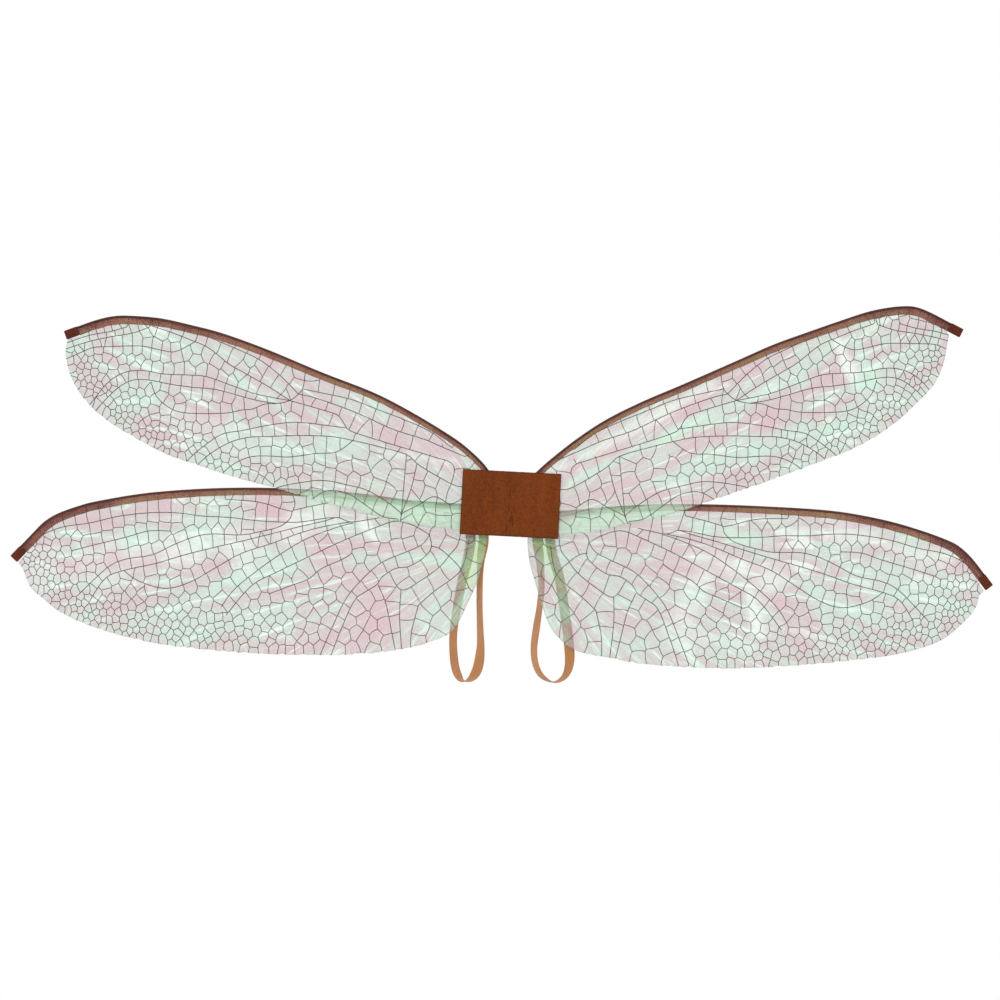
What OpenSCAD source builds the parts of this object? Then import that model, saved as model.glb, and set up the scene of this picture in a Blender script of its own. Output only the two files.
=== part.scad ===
// Fairy wings: four veined film wings on covered wires, held in a folding suede back patch,
// with two elastic arm loops. X runs along the span, Z is up, and the wearer is on the +Y side.
// The origin is on the face of the patch that lies against the wearer, at its middle.

/* [Wings] */
// Reach of the upper wings from the middle of the patch
upper_reach = 450; // [360:1:540]
// Reach of the lower wings from the middle of the patch
lower_reach = 500; // [400:1:600]
// Thickness of the wing film
film_t = 0.3; // [0.2:0.05:0.4]
// Distance of the bend line of every wing from the middle
bend_x = 68; // [66:1:84]
// Gap at the bend line, on each side of it
bend_gap = 1; // [0.8:0.1:1.5]

/* [Leading edge] */
// Diameter of the covered wire
wire_d = 2; // [1.6:0.1:2.8]
// Thickness of the folded edge tape
tape_t = 0.3; // [0.2:0.05:0.5]
// Width of the edge tape beside the patch
band_root_w = 6; // [5:0.5:8]
// Width of the edge tape at the tip
band_tip_w = 9; // [7:0.5:11]
// Length of the suede wrap on a wing tip
wrap_l = 14; // [11:1:17]
// Thickness of the suede wrap on a wing tip
wrap_t = 4; // [3.4:0.1:5]

/* [Back patch] */
// Width of the patch
patch_w = 98.5; // [82:0.5:118]
// Height of the patch
patch_h = 65; // [58:0.5:78]
// Thickness of one suede ply
ply_t = 1.1; // [0.8:0.1:1.6]
// Tilt of the patch, clockwise as seen from outside
patch_tilt = 2.9; // [0:0.1:4]
// Half the opening between the inner plies at the fold
inner_fold_gap = 4; // [3:0.5:6]
// Half the opening between the outer plies at the fold
outer_fold_gap = 0.7; // [0.6:0.1:1.2]

/* [Wire root] */
// Distance of the bound wire roots from the middle
tie_x = 14; // [12:1:16]
// Height of the thread binding on the wire roots
tie_h = 10; // [8:1:12]
// Wall of the thread binding
tie_t = 0.3; // [0.2:0.1:0.5]

/* [Arm loops] */
// Width of the elastic
strap_w = 10; // [8:0.5:12]
// Thickness of the elastic
strap_t = 1.2; // [1:0.1:1.5]
// Distance from the middle to the strap end that runs up behind the patch
strap_in_x = 27; // [26:0.5:28]
// Distance from the middle to the strap end that is sewn on at the bottom
strap_out_x = 40; // [39:0.5:41]
// Height above the origin of the top of the long strap end
strap_top_z = 26; // [20:1:28]
// Height of the line about which the arm loops swing
swing_z = -37; // [-40:0.5:-36]

/* [Hidden] */

$fn = 32;
fit = 0.05;             // clearance between parts that lie on each other
play = 0.1;             // clearance around the wire and between the two wings of a side
wire_r = wire_d / 2;
fold_r = wire_r + play + tape_t;        // outer radius of the tape around the wire
far = 1000;             // longer than anything here

// Levels along Y, from the wearer outwards
inner_ply_y = -ply_t;
lower_y = inner_ply_y - play - tie_t - fit - wire_r;
upper_y = lower_y - 2 * (fold_r + play);
outer_ply_y = upper_y - wire_r - fit - tie_t - play - ply_t;

// The outlines below are drawn for these reaches
drawn_upper_reach = 450;
drawn_lower_reach = 500;
upper_k = upper_reach / drawn_upper_reach;
lower_k = lower_reach / drawn_lower_reach;
root_bottom_z = -25;    // lower end of every wire, inside the patch
tie_z = root_bottom_z + 2;
film_start_x = tie_x + 3;
upper_tape_start_x = tie_x + 5;
lower_tape_start_x = tie_x + 11;
clear_of_cut = 9;       // no ring of a sweep lies nearer than this to its slanting end
leg_start = 1.6;        // where the tape's legs close on the film, in fold radii
wire_stop = 2.5;        // the wire ends this far inside the wrap
wrap_over = 1.9;        // the wrap stands this far outside the wire's centre
wrap_r = 1.5;           // corner radius of the wrap
wrap_clear = 0.6;       // film to wrap

// Points are [distance from the middle, height]. Wire roots inside the patch:
upper_root = [[tie_x, root_bottom_z], [tie_x, -11], [tie_x, -5], [tie_x + 2, 19]];
lower_root = [[tie_x, root_bottom_z], [tie_x, -13], [tie_x, -11], [tie_x + 3, -6.5], [tie_x + 12, -4]];

// Leading edges, from the patch to the tip wrap
upper_left_lead = [
    [25, 36], [43, 54], [62, 68], [100, 91], [138, 110.5], [188, 130], [243, 153],
    [287, 169], [319, 177.5], [351, 184.5], [383, 187], [400, 186], [416, 182], [433, 176]
];
upper_right_lead = [
    [29, 33], [42, 44.5], [67, 64], [96, 83], [132, 101], [172, 118], [229, 143],
    [263, 158], [296, 170], [329, 181.5], [362, 192], [393, 196.5], [412, 193.5], [440, 179.5]
];
lower_left_lead = [
    [50, -1], [99, 2.5], [158, 10], [230, 14.5], [295, 14.5], [361, 10], [411, 2],
    [431, -3], [452, -10.5], [466, -19], [477, -30], [489.5, -43]
];
lower_right_lead = [
    [50, -8], [99, -4], [140, -2], [188, -1.5], [250, -3.5], [320, -8], [370, -16.5],
    [408, -27], [438, -38], [450, -45], [461, -55.5], [473, -71]
];

// Free edges of the films, from the tip wrap back to the patch
upper_left_trail = [
    [443, 164], [445, 149], [440, 128], [428, 107], [405, 84.5], [372, 64], [343, 49],
    [311, 38], [271, 25], [230, 14], [180, 0], [134, -13], [90, -21], [51, -26], [20, -27]
];
upper_right_trail = [
    [438.5, 168.5], [436, 155], [433, 140], [424, 120], [405, 99.5], [379, 76.5], [346, 56.5],
    [312, 43], [263, 24.5], [198, 2], [164, -9], [109, -22], [75, -29], [50, -30], [20, -27]
];
lower_left_trail = [
    [493, -59], [487.5, -66], [481, -82], [469, -94], [444, -112], [403, -128], [353, -140],
    [295, -147], [230, -151], [160, -151], [110, -146], [74, -136], [56, -125], [44, -102],
    [33, -77], [25, -45], [22, -24]
];
lower_right_trail = [
    [474, -88], [469, -92], [466, -103], [456, -116], [430, -137], [389, -150], [340, -157],
    [275, -162.5], [213, -165], [139, -161], [89, -152.5], [64, -146.5], [46, -132], [36, -115],
    [25, -80], [19, -58], [17, -36], [20, -24]
];

// The arm loops, from the long strap end round to the short one:
// [distance from the middle, height, level along Y, turn of the elastic about its own line]
left_loop_route = [
    [strap_in_x + 3, -60, 3.4, -48], [31, -95, 4.6, -57], [30.5, -122, 5, -54], [30, -144, 5, -42],
    [32.5, -163, 5, 0], [38, -173.5, 5, 42], [46, -177.5, 5, 90], [52, -172.5, 5, 132],
    [56, -160, 5, 140], [57.5, -136, 5, 136], [55, -112, 4.6, 140], [strap_out_x + 9, -80, 3.6, 155],
    [strap_out_x + 3, -56, 2, 172]
];
right_loop_route = [
    [strap_in_x + 3, -62, 3.4, 45], [31, -84, 4.6, 56], [29, -104, 5, 58], [26, -124, 5, 50],
    [23.5, -144, 5, 53], [25, -160, 5, 56], [31, -172, 5, 62], [43, -178.5, 5, 90],
    [54, -173, 5, 120], [59, -160, 4.5, 150], [58.5, -140, 3, 178], [54, -105, 1.5, 180],
    [49, -74, 0.8, 180], [strap_out_x + 3, -54, strap_t / 2, 180]
];

stitch_pitch = 2.5;
stitch_l = 1.8;
stitch_w = 0.5;
stitch_h = 0.3;
stitch_margin = 1.5;
stitch_rows = 3;
swing_gap = 1.3;        // strap end to swing line, and swing line to loop

// One wing: [side, wire root points, leading edge, free edge, level, scale, start of the tape]
upper_left = [-1, upper_root, upper_left_lead, upper_left_trail, upper_y, upper_k, upper_tape_start_x];
upper_right = [1, upper_root, upper_right_lead, upper_right_trail, upper_y, upper_k, upper_tape_start_x];
lower_left = [-1, lower_root, lower_left_lead, lower_left_trail, lower_y, lower_k, lower_tape_start_x];
lower_right = [1, lower_root, lower_right_lead, lower_right_trail, lower_y, lower_k, lower_tape_start_x];

// ---- small functions ----

function unit(v) = v / norm(v);
function left_turn(v) = [-v[1], v[0]];
function last(list) = list[len(list) - 1];
function mix(a, b, t) = a + (b - a) * t;

// One point of a smooth curve through b and c, at t from b to c
function curve_point(a, b, c, d, t) =
    (2 * b + (c - a) * t + (2 * a - 5 * b + 4 * c - d) * t * t
        + (3 * b - 3 * c + d - a) * t * t * t) / 2;

// A smooth curve through every point, with steps spans between two of them
function smooth(points, steps) = [
    for (i = [0 : len(points) - 2], k = [0 : steps - 1])
        curve_point(points[max(i - 1, 0)], points[i], points[i + 1],
            points[min(i + 2, len(points) - 1)], k / steps),
    last(points)
];

// Direction of a path at point i, in the plane of its first two numbers
function heading(path, i) =
    let (a = path[max(i - 1, 0)], b = path[min(i + 1, len(path) - 1)])
    unit([b[0] - a[0], b[1] - a[1]]);

// The point of a path that moves outwards where it crosses x
function crossing(path, x) =
    let (i = max([for (k = [0 : len(path) - 2]) if (path[k][0] <= x) k]),
        t = (x - path[i][0]) / (path[i + 1][0] - path[i][0]))
    mix(path[i], path[i + 1], t);

// ---- a wing's lines, with distances from the middle still positive ----

root_end_x = bend_x - bend_gap;
run_start_x = bend_x + bend_gap;

// The wire's line out to the tip wrap. It has a point at each side of the bend line, and no
// other point near it.
function wing_path(wing) =
    let (lead = smooth(concat(wing[1], wing[5] * wing[2]), 2))
    concat(
        [for (p = lead) if (p[0] < root_end_x - clear_of_cut) p],
        [crossing(lead, root_end_x), crossing(lead, run_start_x)],
        [for (p = lead) if (p[0] > run_start_x + clear_of_cut) p]
    );

// The number of the path's last point before the bend line
function root_end(path) = max([for (i = [0 : len(path) - 1]) if (path[i][0] < bend_x) i]);

// Direction in which the tip wrap points
function tip_way(wing) = let (path = wing_path(wing)) heading(path, len(path) - 1);
function tip_base(wing) = last(wing_path(wing));

// The film lies to the right of a path that leads outwards
function film_side(way) = -left_turn(way);

// ---- sweeps ----

// A cross-section of [towards the film, along Y] points, set square on the path at point i.
// cut draws it along the path until it lies at one x.
function ring(path, i, profile, level, side, cut) =
    let (p = path[i], way = heading(path, i), inwards = film_side(way))
    [for (q = profile)
        let (slide = cut ? -q[0] * inwards[0] / way[0] : 0,
            at = p + q[0] * inwards + slide * way)
        [side * at[0], level + q[1], at[1]]];

// A closed solid through rings of the same number of points. ends are the faces of one end.
module skin(rings, ends, side) {
    n = len(rings[0]);
    last_start = (len(rings) - 1) * n;
    points = [for (r = rings, p = r) p];
    walls = [for (i = [0 : len(rings) - 2], j = [0 : n - 1], half = [0, 1])
        let (k = (j + 1) % n, a = i * n, b = a + n)
        half == 0 ? [a + j, a + k, b + k] : [a + j, b + k, b + j]];
    faces = concat(walls,
        [for (f = ends) turned(f)],
        [for (f = ends) [for (v = f) last_start + v]]);
    polyhedron(points, side > 0 ? [for (f = faces) turned(f)] : faces);
}

function turned(face) = [for (i = [len(face) - 1 : -1 : 0]) face[i]];

wire_sides = 8;
function wire_profile() =
    [for (a = [0 : wire_sides - 1]) wire_r * [cos(a * 360 / wire_sides), sin(a * 360 / wire_sides)]];
wire_ends = [[for (j = [0 : wire_sides - 1]) j]];

// One side of the tape's wall: in along a leg, round the wire, and out along the other leg
function tape_wall(reach, leg_y, round_r) = concat(
    [[reach, leg_y], [fold_r * leg_start, leg_y]],
    [for (a = [90 : 45 : 270]) round_r * [cos(a), sin(a)]],
    [[fold_r * leg_start, -leg_y], [reach, -leg_y]]
);

// The tape: folded round the wire, with two legs that hold the film between them
function tape_profile(width) =
    let (gap = film_t / 2 + fit, reach = width - fold_r)
    concat(
        tape_wall(reach, gap + tape_t, fold_r),
        turned(tape_wall(reach, gap, wire_r + play))
    );
tape_points = 9;
tape_ends = [for (j = [0 : tape_points - 2])
    [j, j + 1, 2 * tape_points - 2 - j, 2 * tape_points - 1 - j]];

// ---- wing parts ----

module wire_run(wing) {
    path = wing_path(wing);
    start = root_end(path) + 1;
    whole = concat(path, [last(path) + (wrap_l - wire_stop) * tip_way(wing)]);
    skin([for (i = [start : len(whole) - 1])
        ring(whole, i, wire_profile(), wing[4], wing[0], i == start)], wire_ends, wing[0]);
}

module wire_root(wing) {
    path = wing_path(wing);
    end = root_end(path);
    skin([for (i = [0 : end])
        ring(path, i, wire_profile(), wing[4], wing[0], i == end)], wire_ends, wing[0]);
}

// The tape's width grows with the distance from the middle
function tape_width(wing, x) =
    mix(band_root_w, band_tip_w, max(0, x - wing[6]) / (tip_base(wing)[0] - wing[6]));

module binding_run(wing) {
    path = wing_path(wing);
    start = root_end(path) + 1;
    skin([for (i = [start : len(path) - 1])
        ring(path, i, tape_profile(tape_width(wing, path[i][0])), wing[4], wing[0], i == start)],
        tape_ends, wing[0]);
}

module binding_root(wing) {
    path = wing_path(wing);
    end = root_end(path);
    skin([for (i = [0 : end]) if (path[i][0] >= wing[6])
        ring(path, i, tape_profile(tape_width(wing, path[i][0])), wing[4], wing[0], i == end)],
        tape_ends, wing[0]);
}

module tip_wrap(wing) {
    way = tip_way(wing);
    base = tip_base(wing);
    width = band_tip_w - fold_r + wrap_over;
    translate([wing[0] * base[0], wing[4], base[1]])
        mirror([wing[0] < 0 ? 1 : 0, 0, 0])
            rotate([0, -atan2(way[1], way[0]), 0])
                difference() {
                    rotate([90, 0, 0])
                        translate([fit, wrap_over - width, -wrap_t / 2])
                            linear_extrude(wrap_t) wrap_outline(wrap_l - fit, width);
                    translate([-1, 0, 0])
                        rotate([0, 90, 0])
                            cylinder(r = wire_r + play, h = wrap_l - wire_stop + 1 + play);
                }
}

// A rectangle whose far corners are round
module wrap_outline(length, width) {
    union() {
        square([length - wrap_r, width]);
        translate([0, wrap_r]) square([length, width - 2 * wrap_r]);
        for (z = [wrap_r, width - wrap_r])
            translate([length - wrap_r, z]) circle(r = wrap_r);
    }
}

// The free edge grows with the reach. Its first point keeps its distance from the tip wrap,
// whose size doesn't change with the reach.
function free_edge(wing) = [for (i = [0 : len(wing[3]) - 1])
    i == 0 ? tip_base(wing) + wing[3][0] - last(wing[2]) : wing[5] * wing[3][i]];

// Outline of a film in the plane of its wing
module film_outline(wing) {
    path = wing_path(wing);
    way = tip_way(wing);
    edge = [for (i = [0 : len(path) - 1])
        path[i] + (wire_r + play + fit) * film_side(heading(path, i))];
    below_wrap = tip_base(wing) + (band_tip_w - fold_r + wrap_clear) * film_side(way);
    trail = smooth(free_edge(wing), 3);
    points = concat(edge, [below_wrap], trail);
    polygon([for (p = points) [wing[0] * p[0], p[1]]]);
}

module film_between(wing, low, high) {
    translate([0, wing[4] + film_t / 2, 0])
        rotate([90, 0, 0])
            linear_extrude(film_t)
                intersection() {
                    film_outline(wing);
                    translate([wing[0] > 0 ? low : -high, -far / 2]) square([high - low, far]);
                }
}

// ---- back patch ----

// One half of the patch, from gap outwards
module half_patch(side, gap, level) {
    translate([0, level + ply_t, 0])
        rotate([90, 0, 0])
            linear_extrude(ply_t)
                intersection() {
                    rotate(-patch_tilt) square([patch_w, patch_h], center = true);
                    translate([side > 0 ? gap : -far - gap, -far / 2]) square([far, far]);
                }
}

// The thread that binds the roots of both wires of a side
module root_tie(side) {
    half_x = wire_r + fit;
    low = upper_y - wire_r - fit;
    depth = lower_y + wire_r + fit - low;
    translate([side * tie_x, 0, tie_z])
        linear_extrude(tie_h)
            difference() {
                translate([-half_x - tie_t, low - tie_t])
                    square([2 * (half_x + tie_t), depth + 2 * tie_t]);
                translate([-half_x, low]) square([2 * half_x, depth]);
            }
}

// ---- arm loops ----

strap_end_z = swing_z + swing_gap;

module strap_end(side, x, top) {
    translate([side * x - strap_w / 2, 0, strap_end_z])
        cube([strap_w, strap_t, top - strap_end_z]);
}

short_end_top_z = -12;

module stitch_rows(side, x, top) {
    count = floor((strap_w - 2 * stitch_margin) / stitch_pitch) + 1;
    for (row = [0 : stitch_rows - 1], i = [0 : count - 1])
        translate([
            side * x + (i - (count - 1) / 2) * stitch_pitch - stitch_l / 2,
            strap_t,
            top - stitch_margin - row * stitch_pitch - stitch_w
        ])
            cube([stitch_l, stitch_h, stitch_w]);
}

module strap_stitches(side) {
    stitch_rows(side, strap_in_x, strap_top_z);
    stitch_rows(side, strap_out_x, short_end_top_z);
}

// The elastic's four corners about one point of its route, where it heads the given way
function strap_ring(p, way, side) =
    let (across = film_side(way), c = cos(p[3]), s = sin(p[3]))
    [for (q = [[-1, -1], [1, -1], [1, 1], [-1, 1]])
        let (w = q[0] * strap_w / 2, t = q[1] * strap_t / 2,
            in_plane = w * c - t * s, deep = w * s + t * c)
        [side * (p[0] + in_plane * across[0]), p[2] + deep, p[1] + in_plane * across[1]]];
strap_ends = [[0, 1, 2, 3]];

module arm_loop(side, route) {
    start_z = swing_z - swing_gap;
    path = smooth(concat([[strap_in_x, start_z, strap_t / 2, 0]], route,
        [[strap_out_x, start_z, strap_t / 2, 180]]), 3);
    n = len(path) - 1;
    rings = [for (i = [0 : n])
        strap_ring(path[i], i == 0 ? [0, -1] : i == n ? [0, 1] : heading(path, i), side)];
    skin(rings, strap_ends, side);
}

// ---- sub-parts ----

suede = "#7a401f";
suede_inside = "#6d3a1d";
elastic = "#c48654";
thread = "#a0683c";
wire_brown = "#3c2320";
tape_brown = "#96604b";
film_tint = [0.86, 0.85, 0.85, 0.6];

module outer_patch(side) { color(suede) half_patch(side, outer_fold_gap, outer_ply_y); }
module inner_patch(side) { color(suede_inside) half_patch(side, inner_fold_gap, inner_ply_y); }
module tie(side) { color(thread) root_tie(side); }
module long_end(side) { color(elastic) strap_end(side, strap_in_x, strap_top_z); }
module short_end(side) { color(elastic) strap_end(side, strap_out_x, short_end_top_z); }
module stitches(side) { color(thread) strap_stitches(side); }
module left_loop() { color(elastic) arm_loop(-1, left_loop_route); }
module right_loop() { color(elastic) arm_loop(1, right_loop_route); }
module film_root(wing) { color(film_tint) film_between(wing, film_start_x, root_end_x); }
module film(wing) { color(film_tint) film_between(wing, run_start_x, far); }
module covered_root(wing) { color(wire_brown) wire_root(wing); }
module covered_wire(wing) { color(wire_brown) wire_run(wing); }
module edge_root(wing) { color(tape_brown) binding_root(wing); }
module edge(wing) { color(tape_brown) binding_run(wing); }
module wrap(wing) { color(suede) tip_wrap(wing); }

outer_patch(-1);  // left_outer_patch
inner_patch(-1);  // left_inner_patch
tie(-1);  // left_root_tie
long_end(-1);  // left_strap_long_end
short_end(-1);  // left_strap_short_end
stitches(-1);  // left_strap_stitches
left_loop();  // left_arm_loop
outer_patch(1);  // right_outer_patch
inner_patch(1);  // right_inner_patch
tie(1);  // right_root_tie
long_end(1);  // right_strap_long_end
short_end(1);  // right_strap_short_end
stitches(1);  // right_strap_stitches
right_loop();  // right_arm_loop
film_root(upper_left);  // upper_left_film_root
film(upper_left);  // upper_left_film
covered_root(upper_left);  // upper_left_wire_root
covered_wire(upper_left);  // upper_left_wire
edge_root(upper_left);  // upper_left_binding_root
edge(upper_left);  // upper_left_binding
wrap(upper_left);  // upper_left_tip_wrap
film_root(upper_right);  // upper_right_film_root
film(upper_right);  // upper_right_film
covered_root(upper_right);  // upper_right_wire_root
covered_wire(upper_right);  // upper_right_wire
edge_root(upper_right);  // upper_right_binding_root
edge(upper_right);  // upper_right_binding
wrap(upper_right);  // upper_right_tip_wrap
film_root(lower_left);  // lower_left_film_root
film(lower_left);  // lower_left_film
covered_root(lower_left);  // lower_left_wire_root
covered_wire(lower_left);  // lower_left_wire
edge_root(lower_left);  // lower_left_binding_root
edge(lower_left);  // lower_left_binding
wrap(lower_left);  // lower_left_tip_wrap
film_root(lower_right);  // lower_right_film_root
film(lower_right);  // lower_right_film
covered_root(lower_right);  // lower_right_wire_root
covered_wire(lower_right);  // lower_right_wire
edge_root(lower_right);  // lower_right_binding_root
edge(lower_right);  // lower_right_binding
wrap(lower_right);  // lower_right_tip_wrap
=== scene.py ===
import math
import random

import bmesh
import bpy
import numpy as np
from bpy.props import FloatProperty, FloatVectorProperty, IntProperty, PointerProperty
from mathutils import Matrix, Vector, noise
from mathutils.bvhtree import BVHTree
from mathutils.geometry import delaunay_2d_cdt


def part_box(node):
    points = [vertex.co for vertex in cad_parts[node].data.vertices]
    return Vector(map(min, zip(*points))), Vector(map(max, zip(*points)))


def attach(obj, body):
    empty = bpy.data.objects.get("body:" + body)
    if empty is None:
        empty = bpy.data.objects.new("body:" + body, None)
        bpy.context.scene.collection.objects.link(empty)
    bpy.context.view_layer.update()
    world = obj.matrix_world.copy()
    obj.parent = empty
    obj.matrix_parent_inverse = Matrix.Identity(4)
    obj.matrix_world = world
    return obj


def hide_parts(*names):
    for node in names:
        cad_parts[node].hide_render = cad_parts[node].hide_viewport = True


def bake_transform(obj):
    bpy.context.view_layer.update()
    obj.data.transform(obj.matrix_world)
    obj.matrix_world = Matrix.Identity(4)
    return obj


bl_info = {
    "name": "Fairy wings",
    "version": (1, 0, 0),
    "blender": (4, 5, 0),
    "location": "3D View > Sidebar > Fairy wings",
    "description": "Builds the looks of the veined film wings round their frame",
    "category": "Add Mesh",
}

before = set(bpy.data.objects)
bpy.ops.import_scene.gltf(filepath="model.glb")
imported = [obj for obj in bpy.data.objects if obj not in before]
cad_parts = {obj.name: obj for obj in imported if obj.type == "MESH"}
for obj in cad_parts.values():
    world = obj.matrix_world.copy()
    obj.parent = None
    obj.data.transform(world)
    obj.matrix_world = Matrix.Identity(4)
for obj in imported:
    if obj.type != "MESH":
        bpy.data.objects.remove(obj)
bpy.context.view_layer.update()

# ---------------------------------------------------------------------------
# Shapes shared by the pieces. Points are (distance from the middle, height) in
# millimetres, as in the frame, and a wing's side is -1 on the left, 1 on the right.

MM = 0.001
FILM_START = 17.0
FOLD_R = 1.4
WIRE_GAP = 1.15
WRAP_LENGTH = 14.0
TAPE_ROOT = 6.0
TAPE_TIP = 9.0
TAPE_START = {"upper": 19.0, "lower": 25.0}
TAPE_WALL = 0.28
TAPE_GAP = 0.22         # between the wire's plane and each leg of the tape
TAPE_LEG = 3            # points on each leg of the tape's section
WRAP_OVER = 1.9         # how far a cap stands outside the wire's centre
CAP_HALF = 1.9          # half the cap's thickness
CAP_CORNER = 0.42       # less than 1 makes the cap's section squarer
CAP_ROWS = 26
CAP_POINTS = 32
FILM_PITCH = 3.4        # of the film's grid of points
PLY_COLUMNS, PLY_ROWS = 100, 56
STRAP_COLUMNS = 10
FLOOR_HALF = 1.25       # in metres, as is the next
FLOOR_LEVEL = -0.64

SIDES = {"left": -1, "right": 1}
WINGS = ("upper_left", "upper_right", "lower_left", "lower_right")

# Where the creases and colour streaks of each film spread from.
FANS = {"upper": (8, -25), "lower": (10, -34)}
FAN_TURN = 0.9          # of the streaks' own map, for each radian
FAN_REACH = 0.0016      # and for each millimetre
ROOTS = {
    "upper": [(14, -25), (14, -11), (14, -5), (16, 19)],
    "lower": [(14, -25), (14, -13), (14, -11), (17, -6.5), (26, -4)],
}
LEADS = {
    "upper_left": [
        (25, 36), (43, 54), (62, 68), (100, 91), (138, 110.5), (188, 130), (243, 153),
        (287, 169), (319, 177.5), (351, 184.5), (383, 187), (400, 186), (416, 182), (433, 176),
    ],
    "upper_right": [
        (29, 33), (42, 44.5), (67, 64), (96, 83), (132, 101), (172, 118), (229, 143),
        (263, 158), (296, 170), (329, 181.5), (362, 192), (393, 196.5), (412, 193.5),
        (440, 179.5),
    ],
    "lower_left": [
        (50, -1), (99, 2.5), (158, 10), (230, 14.5), (295, 14.5), (361, 10), (411, 2),
        (431, -3), (452, -10.5), (466, -19), (477, -30), (489.5, -43),
    ],
    "lower_right": [
        (50, -8), (99, -4), (140, -2), (188, -1.5), (250, -3.5), (320, -8), (370, -16.5),
        (408, -27), (438, -38), (450, -45), (461, -55.5), (473, -71),
    ],
}
TRAILS = {
    "upper_left": [
        (443, 164), (445, 149), (440, 128), (428, 107), (405, 84.5), (372, 64), (343, 49),
        (311, 38), (271, 25), (230, 14), (180, 0), (134, -13), (90, -21), (51, -26), (20, -27),
    ],
    "upper_right": [
        (438.5, 168.5), (436, 155), (433, 140), (424, 120), (405, 99.5), (379, 76.5),
        (346, 56.5), (312, 43), (263, 24.5), (198, 2), (164, -9), (109, -22), (75, -29),
        (50, -30), (20, -27),
    ],
    "lower_left": [
        (493, -59), (487.5, -66), (481, -82), (469, -94), (444, -112), (403, -128), (353, -140),
        (295, -147), (230, -151), (160, -151), (110, -146), (74, -136), (56, -125), (44, -102),
        (33, -77), (25, -45), (22, -24),
    ],
    "lower_right": [
        (474, -88), (469, -92), (466, -103), (456, -116), (430, -137), (389, -150), (340, -157),
        (275, -162.5), (213, -165), (139, -161), (89, -152.5), (64, -146.5), (46, -132),
        (36, -115), (25, -80), (19, -58), (17, -36), (20, -24),
    ],
}
LOOPS = {
    "left": [
        (27, -38.3, 0.6, 0), (30, -60, 3.4, -48), (31, -95, 4.6, -57), (30.5, -122, 5, -54),
        (30, -144, 5, -42), (32.5, -163, 5, 0), (38, -173.5, 5, 42), (46, -177.5, 5, 90),
        (52, -172.5, 5, 132), (56, -160, 5, 140), (57.5, -136, 5, 136), (55, -112, 4.6, 140),
        (49, -80, 3.6, 155), (43, -56, 2, 172), (40, -38.3, 0.6, 180),
    ],
    "right": [
        (27, -38.3, 0.6, 0), (30, -62, 3.4, 45), (31, -84, 4.6, 56), (29, -104, 5, 58),
        (26, -124, 5, 50), (23.5, -144, 5, 53), (25, -160, 5, 56), (31, -172, 5, 62),
        (43, -178.5, 5, 90), (54, -173, 5, 120), (59, -160, 4.5, 150), (58.5, -140, 3, 178),
        (54, -105, 1.5, 180), (49, -74, 0.8, 180), (43, -54, 0.6, 180), (40, -38.3, 0.6, 180),
    ],
}
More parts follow.
